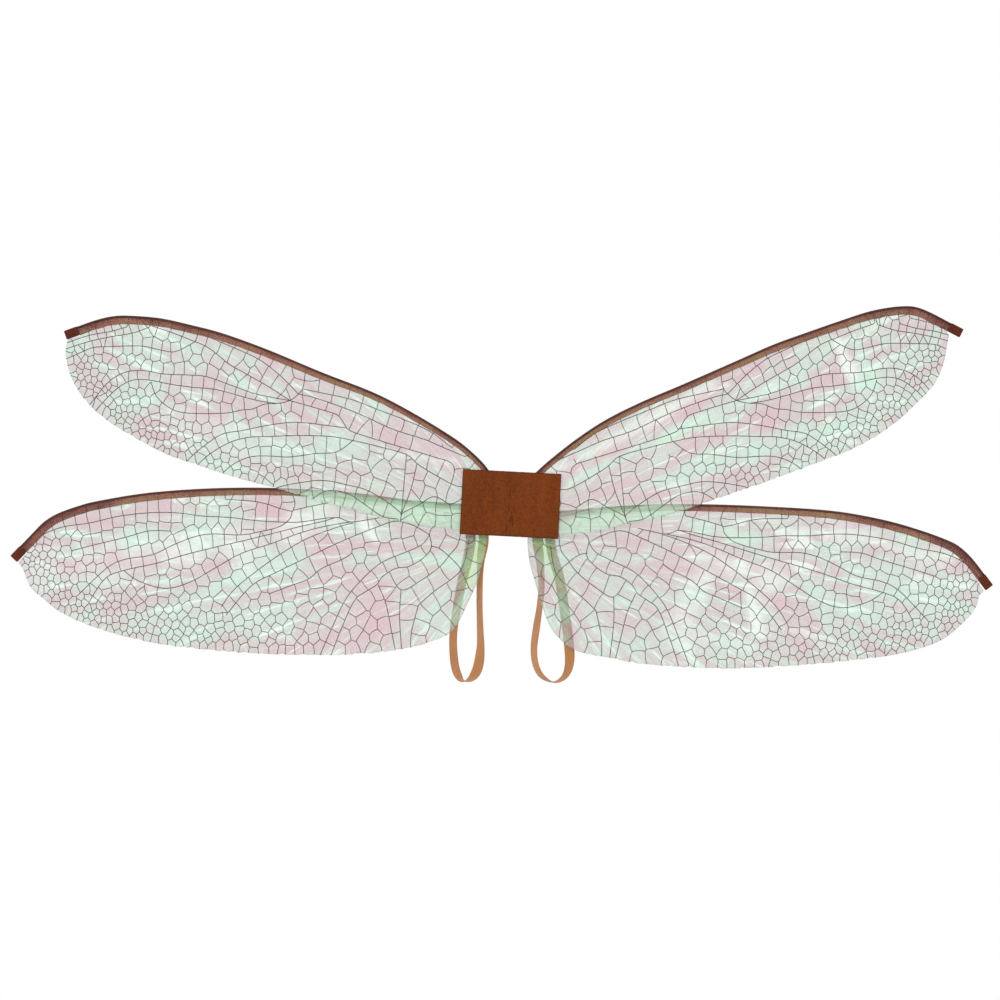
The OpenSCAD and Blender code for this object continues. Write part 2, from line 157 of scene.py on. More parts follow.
# The long veins of a left wing. A right wing has the same, turned to its own edge.
VEINS = {
    "upper": [
        # subcosta
        [(208, 115), (186, 110.5), (159, 104.5), (131.5, 94), (105.5, 84), (79.5, 72), (58.5, 56)],
        # radius
        [(212, 110), (195, 106), (167.5, 96.5), (145.5, 87.5), (117, 74.5), (87, 65), (69.5, 57.5),
         (44.5, 47)],
        # second radius
        [(221, 103.5), (206.5, 99.5), (186, 93.5), (174, 89.5), (168.5, 84), (164, 76.5),
         (157.5, 72), (126.5, 62), (89, 51), (73, 46), (62.5, 43), (57, 38.5), (56, 32.5)],
        # nodus
        [(205, 134), (206.5, 120.5), (208, 115), (212, 110), (220.5, 103.5), (233, 100.5),
         (245.5, 100), (258, 95), (269, 94), (284, 91), (310, 90.5), (331, 92), (344.5, 98.5),
         (354.5, 108.5), (359.5, 122)],
        # ladder low
        [(233.5, 100.5), (250.5, 103), (265, 106.5), (294.5, 114.5), (315, 116.5), (338.5, 119.5),
         (358.5, 123.5), (374.5, 124.5), (387, 120), (398, 111.5), (409, 100), (417.5, 90)],
        # ladder high
        [(221.5, 103.5), (240.5, 107), (258, 111), (281.5, 119.5), (304.5, 127.5), (322.5, 129),
         (346.5, 130), (367, 133.5), (382.5, 132.5), (395.5, 127), (406, 118), (419, 101.5)],
        # front
        [(212, 110), (231.5, 129.5), (250.5, 144), (268, 152.5), (290, 162), (310.5, 171)],
        # second front
        [(220.5, 103.5), (241.5, 117), (265, 130.5), (281.5, 140), (302.5, 156.5), (321, 164.5),
         (337.5, 171), (358.5, 178)],
        # tip one
        [(314.5, 163), (334.5, 152.5), (350, 154), (369.5, 158), (398.5, 157.5), (417, 156.5),
         (428.5, 152), (446.5, 144)],
        # tip two
        [(360.5, 177), (378, 171), (398.5, 167.5), (417.5, 163.5), (431.5, 159.5), (444.5, 155)],
        # tip three
        [(382.5, 177.5), (400, 172.5), (417.5, 169.5), (433, 165), (443.5, 161)],
        # arc high
        [(164, 76), (183, 78.5), (203.5, 81), (221, 81.5), (244, 78.5), (268, 73.5), (288, 70),
         (304.5, 59.5), (318, 48.5), (330.5, 36)],
        # arc low
        [(44.5, 17.5), (55.5, 18.5), (80.5, 32), (93.5, 40.5), (104, 49.5), (130, 57),
         (157.5, 63.5), (180, 67.5), (212.5, 68.5), (241.5, 67.5), (263, 66.5), (282, 61),
         (302, 49), (320.5, 32)],
        # belly
        [(157.5, 63.5), (174, 52), (195, 50.5), (221, 47), (241.5, 48), (260.5, 47), (278.5, 39),
         (294.5, 24)],
        # heel
        [(109, -9.5), (120.5, 0), (134.5, 9), (146.5, 15), (161, 18.5), (186, 23.5), (209.5, 21.5),
         (233, 16.5), (248.5, 9)],
        # heel low
        [(112, -15), (124.5, -13.5), (133, -9.5), (150.5, 3), (162.5, 10.5), (175.5, 13.5),
         (186, 12.5), (198.5, 5)],
        # post one
        [(104, 49.5), (106.5, 20), (109, -9.5)],
        # post two
        [(93.5, 40.5), (99.5, 15), (109, -9.5)],
        # heel root
        [(109, -9.5), (90.5, 0), (76, 7.5), (60.5, -1)],
    ],
    "lower": [
        # subcosta
        [(493.5, -58), (474.5, -35), (450, -23.5), (421, -19), (390.5, -12), (356.5, -8.5),
         (332, -9), (309, -12), (280, -13.5), (260.5, -16), (232, -18), (210, -18), (187.5, -14.5),
         (173, -13.5)],
        # nodus
        [(219.5, 13), (215.5, 0.5), (218.5, -8), (221, -15), (232, -23), (254.5, -28.5),
         (271, -31), (300, -30), (318.5, -33.5), (337.5, -41), (359, -51), (384, -55),
         (399.5, -61), (413.5, -72.5), (430.5, -89)],
        # front
        [(218.5, -7.5), (230.5, -4.5), (244, 0), (259.5, 3), (285.5, 4.5)],
        # back
        [(218, -6.5), (201, -2.5), (178.5, 2)],
        # ladder low
        [(130.5, -13.5), (144.5, -16), (160.5, -18), (173, -13.5), (186, -17), (214.5, -23.5),
         (246, -31.5), (270.5, -37.5), (303, -45), (330, -52), (355, -59.5), (387, -66.5),
         (405, -74), (419.5, -94)],
        # leaf
        [(387, -66.5), (372, -77), (346, -84.5), (321.5, -78.5), (295.5, -64), (269.5, -49.5),
         (240.5, -40), (210.5, -29), (186.5, -22.5), (160.5, -18)],
        # second high
        [(289.5, -103), (277, -86), (254, -67), (230, -50), (203.5, -34.5), (172.5, -23),
         (157.5, -19)],
        # second low
        [(284.5, -111), (259.5, -82), (234.5, -68.5), (204.5, -54), (166, -36), (137.5, -24.5),
         (117.5, -17.5), (105.5, -18.5), (92, -24), (81, -31)],
        # third
        [(242, -90), (218, -81), (202, -75), (189, -64.5), (168.5, -55.5), (158.5, -49)],
        # third high
        [(190.5, -151), (178, -122.5), (163.5, -93), (143, -70), (127, -57.5), (103, -47.5),
         (88.5, -40.5), (81, -31)],
        # third low
        [(179.5, -151), (171, -129), (156.5, -97), (144.5, -87.5), (133.5, -80.5), (128, -72.5),
         (115, -64.5), (103, -63), (92, -57.5), (82.5, -49.5), (79, -42), (81, -31)],
        # rib one
        [(132.5, -80.5), (124.5, -100.5), (119, -127.5), (114.5, -150)],
        # rib two
        [(109.5, -86), (111, -113), (108.5, -150)],
        # rib three
        [(92, -101), (99, -127.5), (100, -148)],
        # bow one
        [(121.5, -67.5), (109.5, -86), (90.5, -77), (71, -63), (61, -51), (52, -39), (49, -18)],
        # bow two
        [(92, -101), (76, -87), (54.5, -71.5), (46.5, -59), (41.5, -36)],
        # bow three
        [(80, -42), (69.5, -45.5), (52, -62), (45.5, -75), (40.5, -86)],
        # upper tip
        [(440, -47), (417, -41), (384, -33), (362.5, -27), (340.5, -27)],
        # front root
        [(81, -31), (78.5, -24), (64.5, -18), (49, -20)],
    ],
}

# Colour of the film: bands of (from, to, width, colour, strength), in millimetres. Bands in the
# gleam colour are painted white highlights.
PINK, MINT, PAINTED_HIGHLIGHT, GREEN, LIME = "pink", "mint", "painted_highlight", "green", "lime"
# The glow colour is painted light where two films lie together.
PAINTED_OVERLAP_FIXED = 0.84       # share of fixed colour where two films lie together
BANDS = {
    "upper_left": [
        ((50, 40), (215, 108), 9, PINK, 0.6), ((105, 60), (205, 84), 7, PINK, 0.6),
        ((40, 22), (130, 34), 6, PINK, 0.55), ((60, 42), (130, 52), 5, PAINTED_HIGHLIGHT, 0.6),
        ((150, 62), (235, 58), 12, MINT, 0.6), ((235, 160), (330, 118), 11, PINK, 0.5),
        ((240, 152), (252, 118), 12, PINK, 0.5), ((290, 150), (340, 130), 12, MINT, 0.35),
        ((380, 122), (448, 158), 12, MINT, 0.65), ((360, 78), (425, 108), 12, PINK, 0.35),
        ((270, 58), (330, 88), 16, PAINTED_HIGHLIGHT, 0.3), ((410, 150), (446, 134), 8, PINK, 0.45),
        ((150, 12), (300, 36), 10, MINT, 0.4), ((390, 176), (250, 140), 6, MINT, 0.4),
        ((30, -3), (170, 6), 5, GREEN, 0.4), ((180, 20), (260, 40), 8, PINK, 0.35),
    ],
    "upper_right": [
        ((40, 20), (250, 140), 8, PINK, 0.8), ((90, 30), (330, 145), 7, PINK, 0.7),
        ((160, 40), (370, 150), 7, PINK, 0.6), ((60, 22), (290, 125), 6, MINT, 0.75),
        ((45, 32), (200, 118), 5, PAINTED_HIGHLIGHT, 0.6), ((120, 50), (310, 140), 5, MINT, 0.7),
        ((150, 25), (350, 75), 12, MINT, 0.65), ((326, 162), (346, 122), 8, PAINTED_HIGHLIGHT, 0.95),
        ((345, 160), (362, 120), 6, MINT, 0.8), ((350, 120), (430, 160), 12, MINT, 0.6),
        ((120, 0), (260, 35), 9, PINK, 0.5), ((250, 60), (380, 95), 9, MINT, 0.45),
        ((390, 180), (300, 165), 7, PINK, 0.5), ((180, 60), (260, 85), 7, PINK, 0.6),
        ((30, -8), (150, -1), 5, GREEN, 0.5), ((25, -18), (160, 38), 8, PINK, 0.55),
    ],
    "lower_left": [
        ((240, 4), (190, -50), 16, PINK, 0.95), ((200, -40), (130, -105), 24, PINK, 0.75),
        ((60, -48), (150, -40), 6, PINK, 0.85), ((130, -125), (230, -148), 16, PINK, 0.65),
        ((60, -68), (110, -62), 7, PINK, 0.35), ((45, -58), (110, -52), 6, MINT, 0.8),
        ((28, -30), (44, -80), 8, LIME, 0.85), ((60, -14), (200, 0), 5, GREEN, 0.5),
        ((45, -86), (55, -120), 6, MINT, 0.82),
        ((225, -30), (185, -4), 12, PAINTED_HIGHLIGHT, 0.6), ((260, -10), (380, -30), 18, MINT, 0.7),
        ((210, -50), (300, -85), 16, MINT, 0.65), ((330, -50), (470, -70), 20, PAINTED_HIGHLIGHT, 0.45),
        ((120, -25), (200, -20), 8, MINT, 0.7), ((400, -55), (440, -62), 10, PINK, 0.5),
        ((330, 0), (430, -18), 8, PINK, 0.5), ((330, -55), (400, -60), 9, PINK, 0.55),
        ((380, -90), (470, -100), 9, PINK, 0.4), ((240, -115), (340, -130), 14, MINT, 0.45),
        ((150, -16), (135, -34), 5, PAINTED_HIGHLIGHT, 0.9), ((70, -110), (110, -125), 12, MINT, 0.4),
        ((255, -40), (330, -52), 18, PAINTED_HIGHLIGHT, 0.5), ((60, -28), (110, -24), 4, PINK, 0.7),
    ],
    "lower_right": [
        ((90, -55), (300, -66), 10, PINK, 0.75), ((180, -36), (330, -140), 11, PINK, 0.7),
        ((60, -44), (130, -40), 6, PINK, 0.75), ((210, -28), (290, -42), 9, PINK, 0.8),
        ((28, -30), (52, -92), 9, LIME, 0.85), ((130, -12), (260, -38), 9, MINT, 0.85),
        ((52, -96), (57, -138), 6, MINT, 0.82),
        ((50, -12), (170, -6), 5, GREEN, 0.5), ((100, -20), (170, -24), 8, PINK, 0.7),
        ((340, -60), (450, -110), 18, MINT, 0.65), ((230, -60), (250, -130), 10, PAINTED_HIGHLIGHT, 0.85),
        ((195, -75), (175, -110), 9, PAINTED_HIGHLIGHT, 0.6), ((290, -60), (320, -130), 9, MINT, 0.6),
        ((100, -140), (230, -145), 12, MINT, 0.5), ((50, -52), (140, -56), 5, MINT, 0.7),
        ((330, -30), (440, -60), 8, PAINTED_HIGHLIGHT, 0.5), ((80, -80), (60, -130), 10, PINK, 0.45),
        ((260, -90), (290, -150), 10, PINK, 0.55), ((90, -100), (190, -92), 9, MINT, 0.5),
        ((180, -50), (260, -80), 14, PAINTED_HIGHLIGHT, 0.6), ((170, -130), (240, -140), 14, PAINTED_HIGHLIGHT, 0.4),
    ],
}


def sizes():
    """The values that the panel shows."""
    return bpy.context.scene.fairy_wing_sizes


def colours():
    """The colours that the panel shows."""
    return bpy.context.scene.fairy_wing_colours


def wing_row(wing):
    return wing.split("_")[0]


def wing_side(wing):
    return SIDES[wing.split("_")[1]]


def wing_level(wing):
    """Where the wing's plane is along Y, in millimetres."""
    low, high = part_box(wing + "_film")
    return (low.y + high.y) / 2 / MM


def smooth(points, steps):
    """Points of a smooth curve through all the given ones."""
    p = np.array(points, float)
    p = np.vstack([p[0], p, p[-1]])
    out = []
    for i in range(1, len(p) - 2):
        a, b, c, d = p[i - 1], p[i], p[i + 1], p[i + 2]
        for k in range(steps):
            t = k / steps
            out.append((2 * b + (c - a) * t + (2 * a - 5 * b + 4 * c - d) * t * t
                        + (3 * b - 3 * c + d - a) * t ** 3) / 2)
    out.append(p[-1])
    return np.array(out)


def distances(line):
    """How far along a line each of its points is."""
    steps = np.linalg.norm(np.diff(line, axis=0), axis=1)
    return np.concatenate([[0], np.cumsum(steps)])


def resample(points, pitch):
    """The same line with points about a pitch apart."""
    p = np.array(points, float)
    along = distances(p)
    count = max(2, int(round(along[-1] / pitch)) + 1)
    places = np.linspace(0, along[-1], count)
    return np.stack([np.interp(places, along, p[:, k]) for k in range(p.shape[1])], axis=1)


def closed(outline):
    """The outline as a line that ends where it starts."""
    return np.vstack([outline, outline[:1]])


def headings(path):
    """Unit direction of a line at each of its points."""
    way = np.gradient(np.array(path, float)[:, :2], axis=0)
    return way / np.maximum(np.linalg.norm(way, axis=1), 1e-9)[:, None]


def film_side(way):
    """Direction from the leading edge into the film."""
    return np.stack([way[:, 1], -way[:, 0]], axis=1)


def wing_path(wing):
    """The wire's line from its bound root to the tip wrap."""
    return smooth(ROOTS[wing_row(wing)] + LEADS[wing], 6)


def film_outline(wing):
    """Closed outline of the film, in millimetres."""
    path = wing_path(wing)
    way = headings(path)
    edge = path + WIRE_GAP * film_side(way)
    under_wrap = path[-1] + (TAPE_TIP - FOLD_R + 0.6) * film_side(way)[-1]
    trail = smooth(TRAILS[wing], 5)
    ring = np.vstack([edge, under_wrap, trail])
    kept = []
    for a, b in zip(ring, np.roll(ring, -1, axis=0)):
        if a[0] >= FILM_START:
            kept.append(a)
        if (a[0] - FILM_START) * (b[0] - FILM_START) < 0:
            t = (FILM_START - a[0]) / (b[0] - a[0])
            kept.append(a + t * (b - a))
    kept.append(kept[0])
    ring = resample(kept, 3.0)[:-1]
    foot = nearest(ring, path)[1]
    clear = np.linalg.norm(ring - foot, axis=1) > TAPE_TIP + 4
    seed = 2.3 * WINGS.index(wing)
    for number in np.nonzero(clear & (ring[:, 0] > FILM_START + 2))[0]:
        x, z = ring[number]
        nick = abs(noise.noise(Vector((x * 0.21, z * 0.21, seed))))
        towards = foot[number] - ring[number]
        ring[number] += towards / np.linalg.norm(towards) * nick * sizes().ragged
    return ring


def inside(points, ring):
    """Which points lie inside a closed outline."""
    a, b = ring, np.roll(ring, -1, axis=0)
    rise = b[:, 1] - a[:, 1]
    slope = (b[:, 0] - a[:, 0]) / np.where(rise == 0, 1.0, rise)
    x, z = points[:, 0, None], points[:, 1, None]
    crosses = (a[:, 1] > z) != (b[:, 1] > z)
    return (crosses & (x < a[:, 0] + (z - a[:, 1]) * slope)).sum(1) % 2 == 1


def nearest(points, line):
    """Distance from each point to an open line, and the place on the line."""
    a, d = line[:-1], np.diff(line, axis=0)
    gaps, places = [], []
    for part in np.array_split(points, max(1, len(points) // 400)):
        from_a = part[:, None] - a
        t = np.clip((from_a * d).sum(2) / np.maximum((d * d).sum(1), 1e-9), 0, 1)
        foot = a + t[:, :, None] * d
        gap = np.linalg.norm(part[:, None] - foot, axis=2)
        best = gap.argmin(1)
        row = np.arange(len(part))
        gaps.append(gap[row, best])
        places.append(foot[row, best])
    return np.concatenate(gaps), np.concatenate(places)


def ease(x, low, high):
    """0 up to low, 1 from high on, and smooth between."""
    t = np.clip((x - low) / (high - low), 0, 1)
    return t * t * (3 - 2 * t)


def fan_of(wing, points):
    """Angle and distance of each point from where its film's creases start."""
    spread = points - FANS[wing_row(wing)]
    return np.arctan2(spread[:, 1], spread[:, 0]), np.hypot(spread[:, 0], spread[:, 1])


def film_relief(wing, points):
    """How far the film stands off its plane: folds that spread from the patch, and ripples."""
    seed = 3.7 * WINGS.index(wing)
    turn, radius = fan_of(wing, points)
    folds = np.array([
        noise.noise(Vector((t * 7.5, r * 0.006, seed))) * 1.3
        + noise.noise(Vector((t * 19, r * 0.010, seed + 9))) * 0.6
        for t, r in zip(turn, radius)
    ])
    ripples = np.array([
        noise.noise(Vector((x * 0.022, z * 0.030, seed + 20)))
        + 0.5 * noise.noise(Vector((x * 0.05, z * 0.06, seed + 31)))
        for x, z in points
    ])
    room = 0.55 + 0.9 * ease(points[:, 0], 215, 330)
    if wing_row(wing) == "lower":
        room = room * (0.6 + 0.4 * ease(points[:, 0], 60, 110))
    off_edge = nearest(points, wing_path(wing))[0]
    hold = ease(off_edge, 6, 34) * ease(points[:, 0], 24, 62)
    reach = np.minimum(1.0, radius / 150)
    return sizes().relief * hold * room * (folds * (0.35 + 0.65 * reach) + 0.8 * ripples)


def paint(wing, points):
    """The film's colour at each point, with painted highlights in the gleam bands and painted
    light where two films lie together, and how much of it is fixed there.
    """
    look = colours()
    seed = 5.3 * WINGS.index(wing)
    colour = np.tile(np.array(look.film_base), (len(points), 1))
    fixed = np.zeros(len(points))
    # Painted light: where the lower film lies behind this one, the colour is set to the glow.
    if wing_row(wing) == "upper":
        painted_overlap = inside(points, film_outline(wing.replace("upper", "lower")))
        colour = np.where(painted_overlap[:, None], np.array(look.film_painted_overlap_light), colour)
        fixed = np.where(painted_overlap, PAINTED_OVERLAP_FIXED, 0.0)
    for number, (start, end, width, name, strength) in enumerate(BANDS[wing]):
        wave = np.array([
            noise.noise(Vector((x * 0.02, z * 0.02, seed + number)))
            + 0.6 * noise.noise(Vector((x * 0.06, z * 0.06, seed + number + 50)))
            for x, z in points
        ])
        far = nearest(points, np.array([start, end], float))[0]
        share = (1 - ease(far + wave * width * 1.2, 0, width * 1.5)) * strength
        tone = np.array(getattr(look, "film_" + name))
        colour = colour * (1 - share[:, None]) + tone * share[:, None]
        fixed = fixed * (1 - share) + share
    return np.clip(np.hstack([colour, fixed[:, None]]), 0, 1)


def place(wing, points, level):
    """Points of a wing in the frame, in millimetres."""
    points = np.array(points, float)
    levels = np.full(len(points), level) if np.ndim(level) == 0 else level
    return np.stack([wing_side(wing) * points[:, 0], levels, points[:, 1]], axis=1)


# ---------------------------------------------------------------------------
# Meshes

def mesh_object(name, verts_mm, faces, materials, edges=(), smooth_shade=True):
    """A new object from points in millimetres."""
    mesh = bpy.data.meshes.new(name)
    verts = [tuple(float(c) * MM for c in v) for v in verts_mm]
    mesh.from_pydata(verts, [tuple(e) for e in edges], [tuple(f) for f in faces])
    for material in materials:
        mesh.materials.append(material)
    if len(faces):
        mesh.polygons.foreach_set("use_smooth", [smooth_shade] * len(mesh.polygons))
    mesh.update()
    obj = bpy.data.objects.new(name, mesh)
    bpy.context.scene.collection.objects.link(obj)
    return obj


def face_outwards(obj, merge_mm=0.0):
    """Merges doubles and turns a closed shell's faces outwards."""
    work = bmesh.new()
    work.from_mesh(obj.data)
    if merge_mm:
        bmesh.ops.remove_doubles(work, verts=work.verts, dist=merge_mm * MM)
    bmesh.ops.recalc_face_normals(work, faces=work.faces)
    work.to_mesh(obj.data)
    work.free()
    obj.data.update()


def add_uv(obj, uv_of_vertex):
    """A UV map from one pair of numbers for each vertex."""
    layer = obj.data.uv_layers.new(name="UVMap")
    corners = np.zeros(len(obj.data.loops), np.int32)
    obj.data.loops.foreach_get("vertex_index", corners)
    layer.data.foreach_set("uv", np.array(uv_of_vertex, np.float32)[corners].ravel())


def add_value(obj, name, of_vertex):
    """A named number for each vertex."""
    layer = obj.data.attributes.new(name, "FLOAT", "POINT")
    layer.data.foreach_set("value", np.array(of_vertex, np.float32))


def triangle_sides(tris):
    """What lies beside each side: {(low point, high point): [(triangle, from, to), ...]}."""
    sides = {}
    for number, t in enumerate(tris):
        for a, b in zip(t, (*t[1:], t[0])):
            sides.setdefault((min(a, b), max(a, b)), []).append((number, a, b))
    return sides


def skin(rings, closed_ends=True):
    """Vertices and faces of a tube through rings of the same number of points."""
    rings = np.array(rings, float)
    rows, n = rings.shape[:2]
    faces = []
    for i in range(rows - 1):
        for j in range(n):
            k = (j + 1) % n
            faces.append((i * n + j, i * n + k, (i + 1) * n + k, (i + 1) * n + j))
    if closed_ends:
        faces.append(tuple(range(n)))
        faces.append(tuple((rows - 1) * n + j for j in reversed(range(n))))
    return rings.reshape(-1, 3), faces


def wing_blend(obj):
    """Bakes the piece's place into its mesh."""
    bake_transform(obj)


# ---------------------------------------------------------------------------
# Nodes

def new_node(tree, kind, **values):
    node = tree.nodes.new(kind)
    for key, value in values.items():
        setattr(node, key, value)
    return node


def set_inputs(node, values):
    """Sets sockets, by name or number, that nothing is linked to."""
    for name, value in values.items():
        node.inputs[name].default_value = value


def link_all(tree, links):
    """links are (from node, its output, to node, its input)."""
    for source, out, target, into in links:
        tree.links.new(source.outputs[out], target.inputs[into])


def node_tree(name):
    """A new tree with geometry in and out."""
    tree = bpy.data.node_groups.new(name, "GeometryNodeTree")
    tree.interface.new_socket("Geometry", in_out="INPUT", socket_type="NodeSocketGeometry")
    tree.interface.new_socket("Geometry", in_out="OUTPUT", socket_type="NodeSocketGeometry")
    return tree


def tree_input(tree, name, kind, default):
    socket = tree.interface.new_socket(name, in_out="INPUT", socket_type="NodeSocket" + kind)
    socket.default_value = default
    return socket.identifier


def strand_tree():
    """Turns the edges of a mesh into tubes whose radius is in the attribute thick."""
    tree = node_tree("Strands")
    tree_input(tree, "Radius", "Float", 0.0004)
    tree_input(tree, "Sides", "Int", 4)
    tree_input(tree, "Material", "Material", None)
    start, end = new_node(tree, "NodeGroupInput"), new_node(tree, "NodeGroupOutput")
    curve = new_node(tree, "GeometryNodeMeshToCurve")
    thick = new_node(tree, "GeometryNodeInputNamedAttribute", data_type="FLOAT")
    set_inputs(thick, {"Name": "thick"})
    radius = new_node(tree, "GeometryNodeSetCurveRadius")
    ring = new_node(tree, "GeometryNodeCurvePrimitiveCircle")
    sweep = new_node(tree, "GeometryNodeCurveToMesh")
    set_inputs(sweep, {"Fill Caps": True})
    flat = new_node(tree, "GeometryNodeSetShadeSmooth")
    real = new_node(tree, "GeometryNodeRealizeInstances")
    coat = new_node(tree, "GeometryNodeSetMaterial")
    link_all(tree, [
        (start, "Geometry", curve, "Mesh"),
        (curve, "Curve", radius, "Curve"),
        (thick, "Attribute", radius, "Radius"),
        (start, "Sides", ring, "Resolution"),
        (start, "Radius", ring, "Radius"),
        (radius, "Curve", sweep, "Curve"),
        (ring, "Curve", sweep, "Profile Curve"),
        (thick, "Attribute", sweep, "Scale"),
        (sweep, "Mesh", flat, "Geometry"),
        (flat, "Geometry", real, "Geometry"),
        (real, "Geometry", coat, "Geometry"),
        (start, "Material", coat, "Material"),
        (coat, "Geometry", end, "Geometry"),
    ])
    return tree


def stitch_tree():
    """Lays a short thread with rounded ends on every point."""
    tree = node_tree("Stitches")
    tree_input(tree, "Length", "Float", 0.0019)
    tree_input(tree, "Thread radius", "Float", 0.00028)
    tree_input(tree, "Wander", "Float", 0.12)
    tree_input(tree, "Seed", "Int", 4)
    tree_input(tree, "Material", "Material", None)
    start, end = new_node(tree, "NodeGroupInput"), new_node(tree, "NodeGroupOutput")
    points = new_node(tree, "GeometryNodeMeshToPoints")
    ball = new_node(tree, "GeometryNodeMeshUVSphere")
    set_inputs(ball, {"Segments": 10, "Rings": 6})
    slimness = new_node(tree, "ShaderNodeMath", operation="DIVIDE")
    scale = new_node(tree, "ShaderNodeMath", operation="MULTIPLY")
    set_inputs(scale, {1: 0.5})
    ratio = new_node(tree, "ShaderNodeCombineXYZ")
    set_inputs(ratio, {"Y": 1.0, "Z": 1.0})
    longer = new_node(tree, "GeometryNodeTransform")
    minus = new_node(tree, "ShaderNodeMath", operation="MULTIPLY")
    set_inputs(minus, {1: -1.0})
    low = new_node(tree, "ShaderNodeCombineXYZ")
    high = new_node(tree, "ShaderNodeCombineXYZ")
    turn = new_node(tree, "FunctionNodeRandomValue", data_type="FLOAT_VECTOR")
    put = new_node(tree, "GeometryNodeInstanceOnPoints")
    real = new_node(tree, "GeometryNodeRealizeInstances")
    rounded = new_node(tree, "GeometryNodeSetShadeSmooth")
    coat = new_node(tree, "GeometryNodeSetMaterial")
    link_all(tree, [
        (start, "Geometry", points, "Mesh"),
        (start, "Thread radius", ball, "Radius"),
        (start, "Length", slimness, 0),
        (start, "Thread radius", slimness, 1),
        (slimness, 0, scale, 0),
        (scale, 0, ratio, "X"),
        (ball, "Mesh", longer, "Geometry"),
        (ratio, "Vector", longer, "Scale"),
        (start, "Wander", minus, 0),
        (minus, 0, low, "Y"),
        (start, "Wander", high, "Y"),
        (low, "Vector", turn, 0),
        (high, "Vector", turn, 1),
        (start, "Seed", turn, "Seed"),
        (points, "Points", put, "Points"),
        (longer, "Geometry", put, "Instance"),
        (turn, 0, put, "Rotation"),
        (put, "Instances", real, "Geometry"),
        (real, "Geometry", rounded, "Geometry"),
        (rounded, "Geometry", coat, "Geometry"),
        (start, "Material", coat, "Material"),
        (coat, "Geometry", end, "Geometry"),
    ])
    return tree


def shared_tree(name, make):
    return bpy.data.node_groups.get(name) or make()


def grow(obj, tree, values):
    """Runs a tree on an object and keeps its result as the object's plain mesh."""
    modifier = obj.modifiers.new(tree.name, "NODES")
    modifier.node_group = tree
    for item in tree.interface.items_tree:
        if item.in_out == "INPUT" and item.name in values:
            modifier[item.identifier] = values[item.name]
    bpy.context.view_layer.update()
    graph = bpy.context.evaluated_depsgraph_get()
    mesh = bpy.data.meshes.new_from_object(obj.evaluated_get(graph), depsgraph=graph)
    mesh.name = obj.name
    obj.modifiers.clear()
    obj.data = mesh
    if not len(mesh.polygons):
        raise RuntimeError(obj.name + ": its node tree made no faces")
    return obj


def strands(name, lines, radius, sides, material):
    """One mesh of tubes. lines are (points in millimetres, thickness of each point)."""
    verts, edges, thick = [], [], []
    for points, share in lines:
        first = len(verts)
        verts.extend(points)
        thick.extend(share)
        edges.extend((first + i, first + i + 1) for i in range(len(points) - 1))
    obj = mesh_object(name, verts, [], [], edges=edges)
    layer = obj.data.attributes.new("thick", "FLOAT", "POINT")
    layer.data.foreach_set("value", np.array(thick, np.float32))
    tree = shared_tree("Strands", strand_tree)
    return grow(obj, tree, {"Radius": radius * MM, "Sides": sides, "Material": material})


# ---------------------------------------------------------------------------
# Finishes

def shaded(tone, share, lift=0.0):
    """The colour made darker or lighter."""
    return [c * share + lift for c in tone]


def grey(value):
    return (value, value, value)


def principled(name):
    material = bpy.data.materials.new(name)
    material.use_nodes = True
    tree = material.node_tree
    return material, tree, tree.nodes["Principled BSDF"]


def coordinates(tree, scale=(1, 1, 1), turn=(0, 0, 0), kind="Object"):
    """Scaled coordinates of the piece."""
    source = new_node(tree, "ShaderNodeTexCoord")
    mapping = new_node(tree, "ShaderNodeMapping")
    set_inputs(mapping, {
        "Scale": scale,
        "Rotation": turn,
    })
    tree.links.new(source.outputs[kind], mapping.inputs["Vector"])
    return mapping.outputs["Vector"]


def cloud(tree, vector, scale, detail=4.0, roughness=0.55, bend=0.0):
    node = new_node(tree, "ShaderNodeTexNoise")
    set_inputs(node, {
        "Scale": scale,
        "Detail": detail,
        "Roughness": roughness,
        "Distortion": bend,
    })
    tree.links.new(vector, node.inputs["Vector"])
    return node.outputs["Fac"]


def stripes(tree, vector, scale, direction="X", bend=0.0, detail_scale=1.0):
    node = new_node(tree, "ShaderNodeTexWave", wave_type="BANDS", bands_direction=direction)
    set_inputs(node, {
        "Scale": scale,
        "Distortion": bend,
        "Detail": 1.0,
        "Detail Scale": detail_scale,
    })
    tree.links.new(vector, node.inputs["Vector"])
    return node.outputs["Fac"]


def ramp(tree, value, stops, colour=True):
    """stops are (place, colour or number)."""
    node = new_node(tree, "ShaderNodeValToRGB")
    band = node.color_ramp
    while len(band.elements) < len(stops):
        band.elements.new(0.5)
    for element, (at, tone) in zip(band.elements, stops):
        element.position = at
        element.color = (*tone, 1.0) if colour else (tone, tone, tone, 1.0)
    tree.links.new(value, node.inputs["Fac"])
    return node.outputs["Color"]


def blend_colours(tree, share, a, b, way="MIX"):
    """share, a and b are sockets, numbers or colours."""
    node = new_node(tree, "ShaderNodeMix", data_type="RGBA", blend_type=way)
    for socket, value in ((node.inputs[0], share), (node.inputs[6], a), (node.inputs[7], b)):
        if isinstance(value, bpy.types.NodeSocket):
            tree.links.new(value, socket)
        elif isinstance(value, (int, float)):
            socket.default_value = value
        else:
            socket.default_value = (*value, 1.0)
    return node.outputs[2]


def sum_of(tree, a, b, way="ADD"):
    node = new_node(tree, "ShaderNodeMath", operation=way)
    for socket, value in zip(node.inputs, (a, b)):
        if isinstance(value, bpy.types.NodeSocket):
            tree.links.new(value, socket)
        else:
            socket.default_value = value
    return node.outputs[0]


